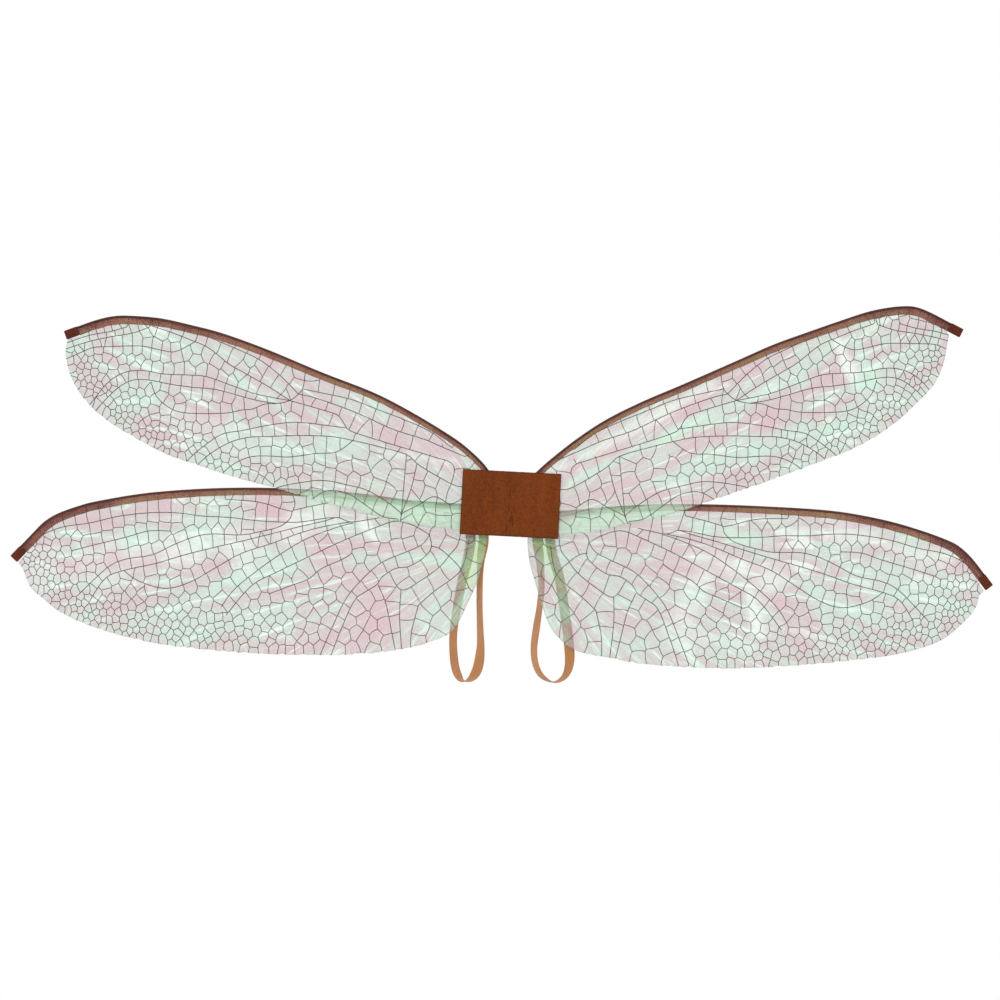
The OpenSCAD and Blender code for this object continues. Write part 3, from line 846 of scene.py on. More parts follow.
def relief(tree, shader, height, distance, strength=1.0, under=None):
    """Bump from a height, in metres, on the shader's normal."""
    node = new_node(tree, "ShaderNodeBump")
    set_inputs(node, {
        "Strength": strength,
        "Distance": distance,
    })
    tree.links.new(height, node.inputs["Height"])
    if under is not None:
        tree.links.new(under, node.inputs["Normal"])
    tree.links.new(node.outputs["Normal"], shader.inputs["Normal"])
    return node.outputs["Normal"]


def cover(tree, shader, colour, rough):
    """The shader's colour and roughness, from sockets."""
    tree.links.new(colour, shader.inputs["Base Color"])
    tree.links.new(rough, shader.inputs["Roughness"])


def facets(tree, vector, scale, bend):
    """A random number for each flat facet of a crumpled sheet."""
    stir = new_node(tree, "ShaderNodeTexNoise")
    set_inputs(stir, {
        "Scale": scale * 0.8,
        "Detail": 3.0,
    })
    tree.links.new(vector, stir.inputs["Vector"])
    push = new_node(tree, "ShaderNodeVectorMath", operation="MULTIPLY_ADD")
    push.inputs[1].default_value = (bend, bend, bend)
    tree.links.new(stir.outputs["Color"], push.inputs[0])
    tree.links.new(vector, push.inputs[2])
    node = new_node(tree, "ShaderNodeTexVoronoi", feature="F1")
    set_inputs(node, {
        "Scale": scale,
        "Randomness": 1.0,
    })
    tree.links.new(push.outputs["Vector"], node.inputs["Vector"])
    parts = new_node(tree, "ShaderNodeSeparateColor")
    tree.links.new(node.outputs["Color"], parts.inputs["Color"])
    return parts.outputs["Red"]


def film_finish():
    """Clear iridescent film with soft creases that spread from the patch, and painted white
    highlights.
    """
    look = colours()
    material, tree, shader = principled("Iridescent film")
    painted = new_node(tree, "ShaderNodeAttribute", attribute_name="tint_and_painted_light")
    own, fixed = painted.outputs["Color"], painted.outputs["Alpha"]
    fan = coordinates(tree, (1.0, 0.26, 1.0), kind="UV")
    here = coordinates(tree)
    broad = cloud(tree, fan, 12.0, 3.0, 0.55, 0.4)
    streak = cloud(tree, fan, 46.0, 4.0, 0.6, 0.6)
    patchy = cloud(tree, here, 22.0, 5.0, 0.62, 0.9)
    small = facets(tree, fan, 30.0, 0.05)
    large = facets(tree, here, 34.0, 0.02)
    base = own
    for pattern, pink, mint in (
        (broad, [(0.36, 0.5), (0.52, 0.0)], [(0.50, 0.0), (0.66, 0.55)]),
        (streak, [(0.36, 0.75), (0.47, 0.0)], [(0.53, 0.0), (0.64, 0.75)]),
        (large, [(0.05, 0.4), (0.3, 0.0)], [(0.7, 0.0), (0.95, 0.45)]),
    ):
        rosy = ramp(tree, pattern, pink, colour=False)
        minty = ramp(tree, pattern, mint, colour=False)
        base = blend_colours(tree, rosy, base, look.film_pink)
        base = blend_colours(tree, minty, base, look.film_mint)
    keep = ramp(tree, fixed, [(0.0, 0.12), (0.85, 0.78)], colour=False)
    base = blend_colours(tree, keep, base, own)
    # Painted white highlights: flecks on crumpled facets and thin streaks, mixed over the film's
    # colour.
    painted_fleck_highlight = ramp(tree, patchy, [(0.50, 0.0), (0.62, 1.0)], colour=False)
    painted_facet_highlight = ramp(tree, small, [(0.66, 0.0), (0.97, 0.75)], colour=False)
    painted_fleck_highlight = sum_of(tree, painted_fleck_highlight, painted_facet_highlight, "MULTIPLY")
    gleam = ramp(tree, streak, [(0.575, 0.0), (0.67, 0.75)], colour=False)
    shine = sum_of(tree, painted_fleck_highlight, gleam, "MAXIMUM")
    base = blend_colours(tree, shine, base, look.film_painted_highlight)
    gloss = ramp(tree, patchy, [(0.25, 0.14), (0.8, 0.34)], colour=False)
    cover(tree, shader, base, gloss)
    soft = relief(tree, shader, streak, 0.006, 0.5)
    relief(tree, shader, small, 0.001, 0.35, under=soft)
    set_inputs(shader, {
        "Alpha": sizes().film_opacity,
        "IOR": 1.5,
        "Specular IOR Level": 0.55,
        "Thin Film Thickness": 430.0,
        "Thin Film IOR": 1.45,
        "Coat Weight": 0.2,
        "Coat Roughness": 0.12,
    })
    material.surface_render_method = "BLENDED"
    return material


def ink_finish():
    """Printed vein lines, a little uneven."""
    material, tree, shader = principled("Vein ink")
    here = coordinates(tree)
    wear = cloud(tree, here, 90.0, 3.0)
    wide = cloud(tree, here, 14.0, 2.0)
    dark = colours().vein
    tone = ramp(tree, wear, [(0.3, dark), (0.75, shaded(dark, 1.7, 0.02))])
    rosy = ramp(tree, wide, [(0.45, grey(1.0)), (0.65, (1.25, 0.94, 0.96))])
    tone = blend_colours(tree, 1.0, tone, rosy, "MULTIPLY")
    rough = ramp(tree, wear, [(0.2, 0.45), (0.8, 0.65)], colour=False)
    cover(tree, shader, tone, rough)
    relief(tree, shader, wear, 0.00008, 0.4)
    return material


def tape_finish(name, alpha, tones, seed):
    """Fine woven ribbon; its UV map runs along it in metres, and across it from 0 to 1."""
    material, tree, shader = principled(name)
    run = coordinates(tree, (1.0, 0.009, 1.0), kind="UV")
    here = coordinates(tree, turn=(seed, 0, seed))
    warp = stripes(tree, run, 420.0, "Y")
    weft = stripes(tree, run, 420.0, "X")
    weave = sum_of(tree, warp, weft, "MULTIPLY")
    wide = cloud(tree, here, 22.0, 3.0, 0.5)
    across = new_node(tree, "ShaderNodeSeparateXYZ")
    where = new_node(tree, "ShaderNodeTexCoord")
    tree.links.new(where.outputs["UV"], across.inputs["Vector"])
    wander = sum_of(tree, wide, 0.9, "MULTIPLY")
    lean = sum_of(tree, across.outputs["Y"], 0.24, "MULTIPLY")
    drift = ramp(tree, across.outputs["X"], [
        (0.03, 0.0), (0.12, 0.12), (0.27, 0.12), (0.40, 0.0)], colour=False)
    tone = ramp(tree, sum_of(tree, sum_of(tree, wander, lean), drift), tones)
    shade = ramp(tree, weave, [(0.0, grey(0.88)), (0.7, grey(1.04))])
    tone = blend_colours(tree, 0.6, tone, shade, "MULTIPLY")
    hem = ramp(tree, across.outputs["Y"], [(0.93, grey(1)), (0.99, grey(0.5))])
    tone = blend_colours(tree, 1.0, tone, hem, "MULTIPLY")
    rough = ramp(tree, wide, [(0.2, 0.5), (0.8, 0.68)], colour=False)
    cover(tree, shader, tone, rough)
    relief(tree, shader, weave, 0.0001, 0.4)
    set_inputs(shader, {
        "Specular IOR Level": 0.2,
        "Alpha": alpha,
    })
    if alpha < 1:
        material.surface_render_method = "BLENDED"
    return material


def suede_finish(name, tone, worn, nap=1.0, edge="edge"):
    """Imitation suede: short nap, brushed patches, darker raw edges, and painted shade along
    creases from the edge attribute.
    """
    material, tree, shader = principled(name)
    here = coordinates(tree)
    brushed = coordinates(tree, (1.0, 1.0, 0.35), (0, 0.2, 0))
    broad = cloud(tree, brushed, 42.0, 5.0, 0.6, 0.4)
    fine = cloud(tree, here, 900.0, 3.0, 0.7)
    fibre = cloud(tree, brushed, 2600.0, 2.0, 0.6)
    colour = ramp(tree, broad, [(0.28, shaded(tone, 0.80)), (0.5, tone), (0.78, worn)])
    grain = ramp(tree, fine, [(0.3, grey(0.72)), (0.7, grey(1.2))])
    colour = blend_colours(tree, 0.9, colour, grain, "MULTIPLY")
    flock = cloud(tree, here, 560.0, 2.0, 0.6)
    grain = ramp(tree, flock, [(0.35, grey(0.80)), (0.65, grey(1.16))])
    colour = blend_colours(tree, 0.9, colour, grain, "MULTIPLY")
    # The edge attribute darkens raw edges, and on the patch it also holds painted shade along the
    # crease.
    rim = new_node(tree, "ShaderNodeAttribute", attribute_name=edge)
    colour = blend_colours(tree, rim.outputs["Fac"], colour, shaded(tone, 0.32))
    rough = ramp(tree, fine, [(0.2, 0.82), (0.8, 0.97)], colour=False)
    cover(tree, shader, colour, rough)
    set_inputs(shader, {
        "Specular IOR Level": 0.12,
        "Sheen Weight": 0.06,
        "Sheen Roughness": 0.45,
    })
    low = relief(tree, shader, broad, 0.0009 * nap, 0.35)
    mid = relief(tree, shader, fine, 0.00035 * nap, 0.7, under=low)
    relief(tree, shader, fibre, 0.00012 * nap, 0.6, under=mid)
    return material


def elastic_finish():
    """Knitted elastic: ribs along it, fine picks across it."""
    material, tree, shader = principled("Woven elastic")
    run = coordinates(tree, kind="UV")
    here = coordinates(tree)
    tone = colours().elastic
    ribs = stripes(tree, run, 390.0, "Y")
    picks = stripes(tree, run, 470.0, "X", 0.6, 3.0)
    ribs = sum_of(tree, ribs, 0.62, "MULTIPLY")
    picks = sum_of(tree, picks, 0.38, "MULTIPLY")
    weave = sum_of(tree, ribs, picks)
    wide = cloud(tree, here, 30.0, 4.0)
    colour = ramp(tree, wide, [(0.3, shaded(tone, 0.86)), (0.7, shaded(tone, 1.08))])
    shade = ramp(tree, weave, [(0.12, (0.66, 0.62, 0.58)), (0.75, grey(1.08))])
    colour = blend_colours(tree, 0.85, colour, shade, "MULTIPLY")
    rough = ramp(tree, weave, [(0.1, 0.85), (0.9, 0.6)], colour=False)
    cover(tree, shader, colour, rough)
    set_inputs(shader, {
        "Sheen Weight": 0.25,
        "Specular IOR Level": 0.3,
    })
    relief(tree, shader, weave, 0.0004, 0.9)
    return material


def thread_finish():
    """Twisted sewing thread."""
    material, tree, shader = principled("Sewing thread")
    twist = coordinates(tree, turn=(0.4, 0.6, 0.2))
    plies = stripes(tree, twist, 900.0, "DIAGONAL", 0.4)
    fuzz = cloud(tree, twist, 700.0, 3.0)
    tone = colours().thread
    colour = ramp(tree, plies, [(0.1, shaded(tone, 0.55)), (0.8, tone)])
    shade = ramp(tree, fuzz, [(0.3, grey(0.9)), (0.7, grey(1.1))])
    colour = blend_colours(tree, 0.7, colour, shade, "MULTIPLY")
    rough = ramp(tree, fuzz, [(0.2, 0.5), (0.8, 0.72)], colour=False)
    cover(tree, shader, colour, rough)
    shader.inputs["Sheen Weight"].default_value = 0.2
    relief(tree, shader, plies, 0.00012, 0.8)
    return material


def wire_finish():
    """Wire under a tight lapped paper covering."""
    material, tree, shader = principled("Covered wire")
    run = coordinates(tree, turn=(0, 0.5, 0))
    laps = stripes(tree, run, 160.0, "DIAGONAL", 0.8)
    wear = cloud(tree, run, 200.0, 4.0)
    tone = colours().wire
    colour = ramp(tree, wear, [(0.3, tone), (0.75, shaded(tone, 1.9, 0.01))])
    rough = ramp(tree, wear, [(0.2, 0.55), (0.8, 0.8)], colour=False)
    cover(tree, shader, colour, rough)
    relief(tree, shader, laps, 0.0002, 0.6)
    return material


def finish_for(name, make):
    """The named material, made the first time it is asked for."""
    found = bpy.data.materials.get(name)
    return found or make()


# ---------------------------------------------------------------------------
# Vein net

def matched_to(wing, points):
    """Points of a left wing's veins, turned and scaled to this wing."""
    left = wing_row(wing) + "_left"
    p = np.array(points, float)
    if wing == left:
        return p
    a, b = (np.array(LEADS[left][i], float) for i in (0, -1))
    c, d = (np.array(LEADS[wing][i], float) for i in (0, -1))
    turn = complex(*(d - c)) / complex(*(b - a))
    z = (p[:, 0] - a[0] + 1j * (p[:, 1] - a[1])) * turn
    return np.stack([c[0] + z.real, c[1] + z.imag], axis=1)


SQUASH = 0.84           # height of the net's cells against their width
LOOSE_END = 17          # a long vein that ends nearer to the outline runs on to it
SNAP_REACH = 9.0        # a cell's corner nearer to a vein than this moves on to it
MIRROR_DEPTH = 18       # cells this near the outline are mirrored over it
DARTS = 12000           # tries for the free cells


def cell_size(wing, points):
    """Width of the net's cells: small near the tips and the free edge."""
    far = 450 if wing_row(wing) == "upper" else 490
    out = np.clip(points[:, 0] / far, 0, 1)
    trail = nearest(points, smooth(TRAILS[wing], 3))[0]
    shrink = 0.36 * (1 - ease(trail, 14, 62)) * ease(points[:, 0], 90, 240)
    return sizes().cell * (1.5 - 0.74 * out ** 0.9) * (1 - shrink)


def beside(line, offset):
    """Points at an offset to both sides of a line."""
    across = film_side(headings(line))
    reach = np.asarray(offset)[..., None] * across if np.ndim(offset) else offset * across
    return line + reach, line - reach


def net_seeds(wing, outline, veins, draw):
    """Middles of the net's cells: in pairs along the veins and the edges, and free between."""
    fixed = []

    def keep(points, share):
        for p, s in zip(points, cell_size(wing, points)):
            if not fixed or np.min(np.linalg.norm(np.array(fixed) - p, axis=1)) > s * share:
                fixed.append(p)

    ring = resample(closed(outline), 2.0)
    for line in veins:
        step = float(np.mean(cell_size(wing, line)))
        spots = resample(line, step * 1.04)
        middles = (spots[:-1] + spots[1:]) / 2
        offset = cell_size(wing, middles) * 0.44
        for side in beside(middles, offset):
            keep(side, 0.56)
    lead = resample(wing_path(wing), sizes().cell * 0.8)
    row = lead + film_side(headings(lead)) * (cell_size(wing, lead) * 0.46 + WIRE_GAP)[:, None]
    spare = np.min([nearest(row, vein)[0] for vein in veins], axis=0)
    keep(row[inside(row, outline) & (spare > cell_size(wing, row) * 1.3)], 0.5)
    low, high = outline.min(0), outline.max(0)
    darts = np.array([(draw.uniform(low[0], high[0]), draw.uniform(low[1], high[1]))
                      for _ in range(DARTS)])
    darts = darts[inside(darts, outline)]
    room = cell_size(wing, darts)
    clear = nearest(darts, lead)[0] > room * 0.9
    clear &= nearest(darts, ring)[0] > room * 0.2
    everything = np.zeros((len(fixed) + len(darts), 2))
    everything[:len(fixed)] = fixed
    filled = len(fixed)
    for p, s in zip(darts[clear], room[clear]):
        if np.min(np.linalg.norm(everything[:filled] - p, axis=1)) > s * 0.80:
            everything[filled] = p
            filled += 1
    return np.array(fixed), everything[len(fixed):filled]


def mirrored(seeds, ring):
    """The seeds near the outline, mirrored to its far side."""
    gap, foot = nearest(seeds, ring)
    return (2 * foot - seeds)[gap < MIRROR_DEPTH]


def crossings(a, b, line):
    """Which of the steps from a to b cross a line."""
    p, q = line[:-1], line[1:]

    def turn(u, v):
        return u[..., 0] * v[..., 1] - u[..., 1] * v[..., 0]

    a, d = a[:, None], (b - a)[:, None]
    one = turn(d, p - a) * turn(d, q - a)
    two = turn(q - p, a - p) * turn(q - p, a + d - p)
    return ((one < 0) & (two < 0)).any(1)


def long_veins(wing, outline):
    """The wing's long veins, carried on to the outline where they end near it."""
    ring = closed(outline)
    veins = []
    for route in VEINS[wing_row(wing)]:
        line = resample(smooth(matched_to(wing, route), 5), 0.8)
        line = line[inside(line, outline)]
        if len(line) < 12:
            continue
        for end in (0, -1):
            gap, foot = nearest(line[end][None], ring)
            if gap[0] < LOOSE_END:
                line = np.vstack([line, foot]) if end else np.vstack([foot, line])
        veins.append(resample(line, 3.2))
    return veins


def settled(seeds, fixed, own, ring):
    """The free seeds moved towards their neighbours, and the mirrored ones made anew."""
    for _ in range(2):
        tris = delaunay_2d_cdt([Vector(p) for p in seeds], [], [], 0, 1e-6)[2]
        total, number = np.zeros_like(seeds), np.zeros(len(seeds))
        for t in tris:
            for i in t:
                for j in t:
                    if i != j:
                        total[i] += seeds[j]
                        number[i] += 1
        for i in range(fixed, own):
            if number[i]:
                seeds[i] = 0.72 * seeds[i] + 0.28 * total[i] / number[i]
        seeds = np.vstack([seeds[:own], mirrored(seeds[:own], ring)])
    return seeds


def cell_corner(a, b, c):
    """The point as far from each corner of a triangle, or its middle if it is a line."""
    w = 2 * ((b - a)[0] * (c - a)[1] - (b - a)[1] * (c - a)[0])
    if abs(w) < 1e-9:
        return (a + b + c) / 3
    bb, cc = (b - a) @ (b - a), (c - a) @ (c - a)
    x = ((c - a)[1] * bb - (b - a)[1] * cc) / w
    z = ((b - a)[0] * cc - (c - a)[0] * bb) / w
    return a + np.array([x, z])


def snapped(corners, targets, touched):
    """The cells' corners, with those that touch a vein or the outline moved on to it."""
    ends, moved = corners.copy(), np.full(len(corners), SNAP_REACH)
    for target, numbers in zip(targets, touched):
        numbers = np.unique(numbers).astype(int)
        if not len(numbers):
            continue
        gap, foot = nearest(corners[numbers], target)
        closer = gap < moved[numbers]
        ends[numbers[closer]] = foot[closer]
        moved[numbers[closer]] = gap[closer]
    return ends


def net_lines(first, last, draw):
    """Slightly bowed lines from each first point to its last one."""
    lines = []
    for p, q in zip(first, last):
        steps = max(2, int(np.linalg.norm(q - p) / 3.5) + 1)
        t = np.linspace(0, 1, steps + 1)[:, None]
        bow = np.array([(q - p)[1], -(q - p)[0]]) * draw.uniform(-0.07, 0.07)
        lines.append(p + (q - p) * t + bow * (4 * t * (1 - t)))
    return lines


def vein_net(wing, outline):
    """Lines of the net: (points, thickness at each point), in the wing's own plane."""
    draw = random.Random(sizes().seed + WINGS.index(wing) // 2)
    ring = closed(outline)
    veins = long_veins(wing, outline)
    fixed, free = net_seeds(wing, outline, veins, draw)
    own = len(fixed) + len(free)
    seeds = np.vstack([fixed, free])
    seeds = settled(np.vstack([seeds, mirrored(seeds, ring)]), len(fixed), own, ring)

    squash = np.array([1.0, SQUASH])
    result = delaunay_2d_cdt([Vector(p) for p in seeds * squash], [], [], 0, 1e-6)
    at = np.array([tuple(v) for v in result[0]])
    owner = [ids[0] if len(ids) else -1 for ids in result[3]]
    corners = np.array([cell_corner(*at[list(t)]) for t in result[2]]) / squash
    sides = triangle_sides(result[2])
    pairs = np.array(list(sides))
    a, b = (at / squash)[pairs].swapaxes(0, 1)

    targets = veins + [ring]
    hit = np.full(len(pairs), -1)
    for number, vein in enumerate(veins):
        hit[crossings(a, b, vein) & (hit < 0)] = number
    outside = np.array([[owner[i] >= own for i in pair] for pair in pairs])
    hit[outside[:, 0] != outside[:, 1]] = len(veins)
    touched = [[] for _ in targets]
    steps = []
    for uses, target, off in zip(sides.values(), hit, outside):
        beside_it = [use[0] for use in uses]
        if off.all():
            continue
        if target >= 0:
            touched[target].extend(beside_it)
        elif len(beside_it) == 2:
            steps.append(beside_it)

    ends = snapped(corners, targets, touched)
    first, last = ends[np.array(steps)].swapaxes(0, 1)
    length = np.linalg.norm(last - first, axis=1)
    good = (length > 0.5) & (length < 45) & inside((first + last) / 2, outline)
    net = [(line, [1.0] * len(line)) for line in net_lines(first[good], last[good], draw)]
    return net + [(vein, [sizes().main_vein] * len(vein)) for vein in veins]


# ---------------------------------------------------------------------------
# Pieces

SURFACES = {}           # the middle surface of each film, which its veins follow
CAST_FROM = 30


def add_camera(scene):
    data = bpy.data.cameras.new("Camera")
    data.sensor_width = 36.0
    data.lens = 180.0
    data.clip_end = 60.0
    camera = bpy.data.objects.new("Camera", data)
    camera.location = (-0.0105, -5.0 - 0.0055, 0.004)
    camera.rotation_euler = (math.pi / 2, 0, 0)
    scene.collection.objects.link(camera)
    scene.camera = camera


def add_floor():
    half, level = FLOOR_HALF / MM, FLOOR_LEVEL / MM
    corners = [(x * half, y * half, level) for x, y in ((-1, -1), (1, -1), (1, 1), (-1, 1))]
    material, _, shader = principled("Pale floor")
    set_inputs(shader, {"Base Color": (0.93, 0.93, 0.93, 1), "Roughness": 0.9})
    mesh_object("floor", corners, [(0, 1, 2, 3)], [material])


def add_light(scene, name, spot, size, power):
    """A round soft light that looks at the patch."""
    light = bpy.data.lights.new(name, "AREA")
    light.shape = "DISK"
    light.size = size
    light.energy = power
    lamp = bpy.data.objects.new(name, light)
    lamp.location = spot
    lamp.rotation_euler = (-Vector(spot)).to_track_quat("-Z", "Y").to_euler()
    scene.collection.objects.link(lamp)


def add_room(scene):
    """Soft white light all round, and plain white behind the wings."""
    world = bpy.data.worlds.new("White room")
    world.use_nodes = True
    scene.world = world
    tree = world.node_tree
    background = tree.nodes["Background"]
    white = new_node(tree, "ShaderNodeBackground")
    set_inputs(white, {"Color": (1, 1, 1, 1)})
    path = new_node(tree, "ShaderNodeLightPath")
    mixed = new_node(tree, "ShaderNodeMixShader")
    where = new_node(tree, "ShaderNodeTexCoord")
    panels = cloud(tree, where.outputs["Generated"], 2.3, 1.0, 0.5)
    tone = ramp(tree, panels, [(0.42, (0.62, 0.62, 0.63)), (0.58, (1.02, 1.02, 1.0))])
    tree.links.new(tone, background.inputs["Color"])
    set_inputs(background, {"Strength": sizes().room_light})
    link_all(tree, [
        (path, "Is Camera Ray", mixed, "Fac"),
        (background, 0, mixed, 1),
        (white, 0, mixed, 2),
        (mixed, 0, tree.nodes["World Output"], "Surface"),
    ])


class WINGS_OT_stage(bpy.types.Operator):
    """Camera, floor, lights and a white room"""

    bl_idname = "fairy_wings.stage"
    bl_label = "Stage"

    def execute(self, context):
        scene = context.scene
        scene.view_settings.view_transform = "Standard"
        add_camera(scene)
        add_floor()
        add_light(scene, "key_light", (-1.6, -2.4, 2.2), 1.6, 40.0)
        add_light(scene, "fill_light", (2.2, -2.6, 0.7), 2.2, 20.0)
        add_light(scene, "rim_light", (0.4, 2.2, 2.0), 1.8, 24.0)
        add_room(scene)
        return {"FINISHED"}


def film_plan(outline):
    """The film laid flat: its points and its triangles."""
    low, high = outline.min(0), outline.max(0)
    rows = []
    for number, z in enumerate(np.arange(low[1], high[1], FILM_PITCH * 0.866)):
        xs = np.arange(low[0] + (number % 2) * FILM_PITCH / 2, high[0], FILM_PITCH)
        rows.append(np.stack([xs, np.full(len(xs), z)], axis=1))
    grid = np.vstack(rows)
    grid = grid[inside(grid, outline)]
    grid = grid[nearest(grid, closed(outline))[0] > FILM_PITCH * 0.45]
    points = [Vector(p) for p in np.vstack([outline, grid])]
    border = list(range(len(outline)))
    result = delaunay_2d_cdt(points, [], [border], 1, 1e-6)
    return np.array([tuple(v) for v in result[0]]), [tuple(t) for t in result[2]]


def film_walls(tris, count):
    """Faces of a closed sheet: its front, its back turned round, and the edge between."""
    faces = list(tris) + [tuple(count + i for i in reversed(t)) for t in tris]
    for uses in triangle_sides(tris).values():
        if len(uses) == 1:
            a, b = uses[0][1:]
            faces.append((b, a, count + a, count + b))
    return faces


class WINGS_OT_films(bpy.types.Operator):
    """The four film wings, each one sheet from the patch to its tip"""

    bl_idname = "fairy_wings.films"
    bl_label = "Films"

    def execute(self, context):
        material = finish_for("Iridescent film", film_finish)
        half = np.array([0, sizes().film_thickness / 2, 0])
        for wing in WINGS:
            outline = film_outline(wing)
            flat, tris = film_plan(outline)
            middle = place(wing, flat, wing_level(wing) + film_relief(wing, flat))
            SURFACES[wing] = BVHTree.FromPolygons([Vector(p) for p in middle], tris)
            film = mesh_object(
                wing + "_film_sheet", np.vstack([middle - half, middle + half]),
                film_walls(tris, len(flat)), [material])
            # The film's tints, with its painted highlights and the painted light where two films
            # lie together.
            tint_and_painted_light = paint(wing, flat)
            layer = film.data.color_attributes.new("tint_and_painted_light", "FLOAT_COLOR", "POINT")
            layer.data.foreach_set("color", np.vstack([tint_and_painted_light, tint_and_painted_light]).astype(np.float32).ravel())
            turn, radius = fan_of(wing, flat)
            fan = np.stack([turn * FAN_TURN, radius * FAN_REACH], axis=1)
            add_uv(film, np.vstack([fan, fan]))
            face_outwards(film)
            wing_blend(film)
            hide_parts(wing + "_film_root", wing + "_film")
        return {"FINISHED"}


class WINGS_OT_veins(bpy.types.Operator):
    """The printed vein net, just proud of both faces of each film"""

    bl_idname = "fairy_wings.veins"
    bl_label = "Veins"

    def execute(self, context):
        ink = finish_for("Vein ink", ink_finish)
        for wing in WINGS:
            if wing not in SURFACES:
                raise RuntimeError("make the films before the veins")
            level = wing_level(wing)
            lines = []
            for points, share in vein_net(wing, film_outline(wing)):
                spots = place(wing, points, level)
                for spot in spots:
                    start = Vector((spot[0], level - CAST_FROM, spot[2]))
                    found = SURFACES[wing].ray_cast(start, Vector((0, 1, 0)))[0]
                    if found is None:
                        found = SURFACES[wing].find_nearest(Vector(spot))[0]
                    spot[1] = found.y
                lines.append((spots, share))
            veins = strands(wing + "_veins", lines, sizes().vein_width / 2, 4, ink)
            wing_blend(veins)
        return {"FINISHED"}


def tape_section(width, frill):
    """The folded ribbon cut across: (into the film, off its plane), its outside then inside."""
    arc = np.radians(np.linspace(42, 318, 13))
    reach = width - FOLD_R + frill
    stand = TAPE_GAP + TAPE_WALL
    outer = [(reach, stand), (reach * 0.66, stand + 0.04), (FOLD_R * 1.9, stand + 0.1)]
    inner = [(reach, TAPE_GAP), (reach * 0.66, TAPE_GAP), (FOLD_R * 1.9, TAPE_GAP + 0.08)]
    loops = []
    for leg, radius in ((outer, FOLD_R), (inner, FOLD_R - TAPE_WALL)):
        bend = [(radius * math.cos(a), radius * math.sin(a)) for a in arc]
        loops.append(leg + bend + [(x, -y) for x, y in reversed(leg)])
    return loops[0] + loops[1][::-1]


class WINGS_OT_tapes(bpy.types.Operator):
    """The sheer ribbon folded over each leading edge, with the dark fold outside"""

    bl_idname = "fairy_wings.tapes"
    bl_label = "Edge tapes"

    def execute(self, context):
        look = colours()
        dark = [(0.3, look.tape_fold), (0.75, shaded(look.tape_fold, 1.8, 0.01))]
        sheer = [(0.46, look.tape_red), (0.66, look.tape), (0.82, look.tape_olive)]
        fold = finish_for("Tape fold", lambda: tape_finish("Tape fold", 1.0, dark, 0.3))
        legs = finish_for("Sheer tape", lambda: tape_finish(
            "Sheer tape", sizes().tape_opacity, sheer, 0.9))
        for wing in WINGS:
            start = TAPE_START[wing_row(wing)]
            path = wing_path(wing)
            path = resample(path[path[:, 0] >= start], 3.0)
            inward = film_side(headings(path))
            level = wing_level(wing)
            share = (path[:, 0] - start) / (path[-1, 0] - start)
            width = TAPE_ROOT + (TAPE_TIP - TAPE_ROOT) * share
            rings, uv = [], []
            for i, (p, n, w, along) in enumerate(zip(path, inward, width, distances(path))):
                frill = noise.noise(Vector((i * 0.35, 7.1 * WINGS.index(wing), 0))) * 0.35
                section = tape_section(w, frill)
                rings.append([
                    (wing_side(wing) * (p[0] + x * n[0]), level + y, p[1] + x * n[1])
                    for x, y in section])
                uv += [(along * MM, (x + FOLD_R) / w) for x, y in section]
            verts, faces = skin(rings)
            tape = mesh_object(wing + "_edge_tape", verts, faces, [fold, legs])
            count = len(rings[0])
            half = count // 2
            folded = (*range(TAPE_LEG, half - TAPE_LEG - 1),
                      *range(half + TAPE_LEG, count - TAPE_LEG - 1))
            index = [1] * len(faces)
            for number in range((len(rings) - 1) * count):
                if number % count in folded:
                    index[number] = 0
            tape.data.polygons.foreach_set("material_index", index)
            add_uv(tape, uv)
            face_outwards(tape)
            wing_blend(tape)
            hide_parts(wing + "_binding_root", wing + "_binding")
        return {"FINISHED"}


class WINGS_OT_wires(bpy.types.Operator):
    """The covered wire along each leading edge"""

    bl_idname = "fairy_wings.wires"
    bl_label = "Wires"

    def execute(self, context):
        material = finish_for("Covered wire", wire_finish)
        for wing in WINGS:
            path = wing_path(wing)
            way = headings(path)[-1]
            path = resample(np.vstack([path, path[-1] + (WRAP_LENGTH - 3.0) * way]), 3.0)
            spots = place(wing, path, wing_level(wing))
            wire = strands(wing + "_edge_wire", [(spots, [1.0] * len(spots))],
                           sizes().wire / 2, 10, material)
            wing_blend(wire)
            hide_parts(wing + "_wire_root", wing + "_wire")
        return {"FINISHED"}


def cap_section(t, width):
    """The cap cut across at a share t of its length: an oblong with a lapped fold on it."""
    close = 1.0 - 0.09 * (1 - ease(t, 0, 0.08)) - 0.10 * ease(t, 0.93, 1.0)
    lap = 1.0 + 0.05 * math.sin(t * 9.0) + 0.03 * math.sin(t * 23 + 1)
    section = []
    for k in range(CAP_POINTS):
        turn = 2 * math.pi * k / CAP_POINTS
        c, s = math.cos(turn), math.sin(turn)
        u = math.copysign(abs(c) ** CAP_CORNER, c) * width / 2 * close
        v = math.copysign(abs(s) ** (CAP_CORNER * 1.5), s) * CAP_HALF * close * lap
        fold = 0.22 * math.exp(-((u / width * 2 - 0.25) / 0.12) ** 2)
        section.append((u, v + fold * (1 if s > 0 else -1) * (0.6 + 0.4 * t)))
    return section


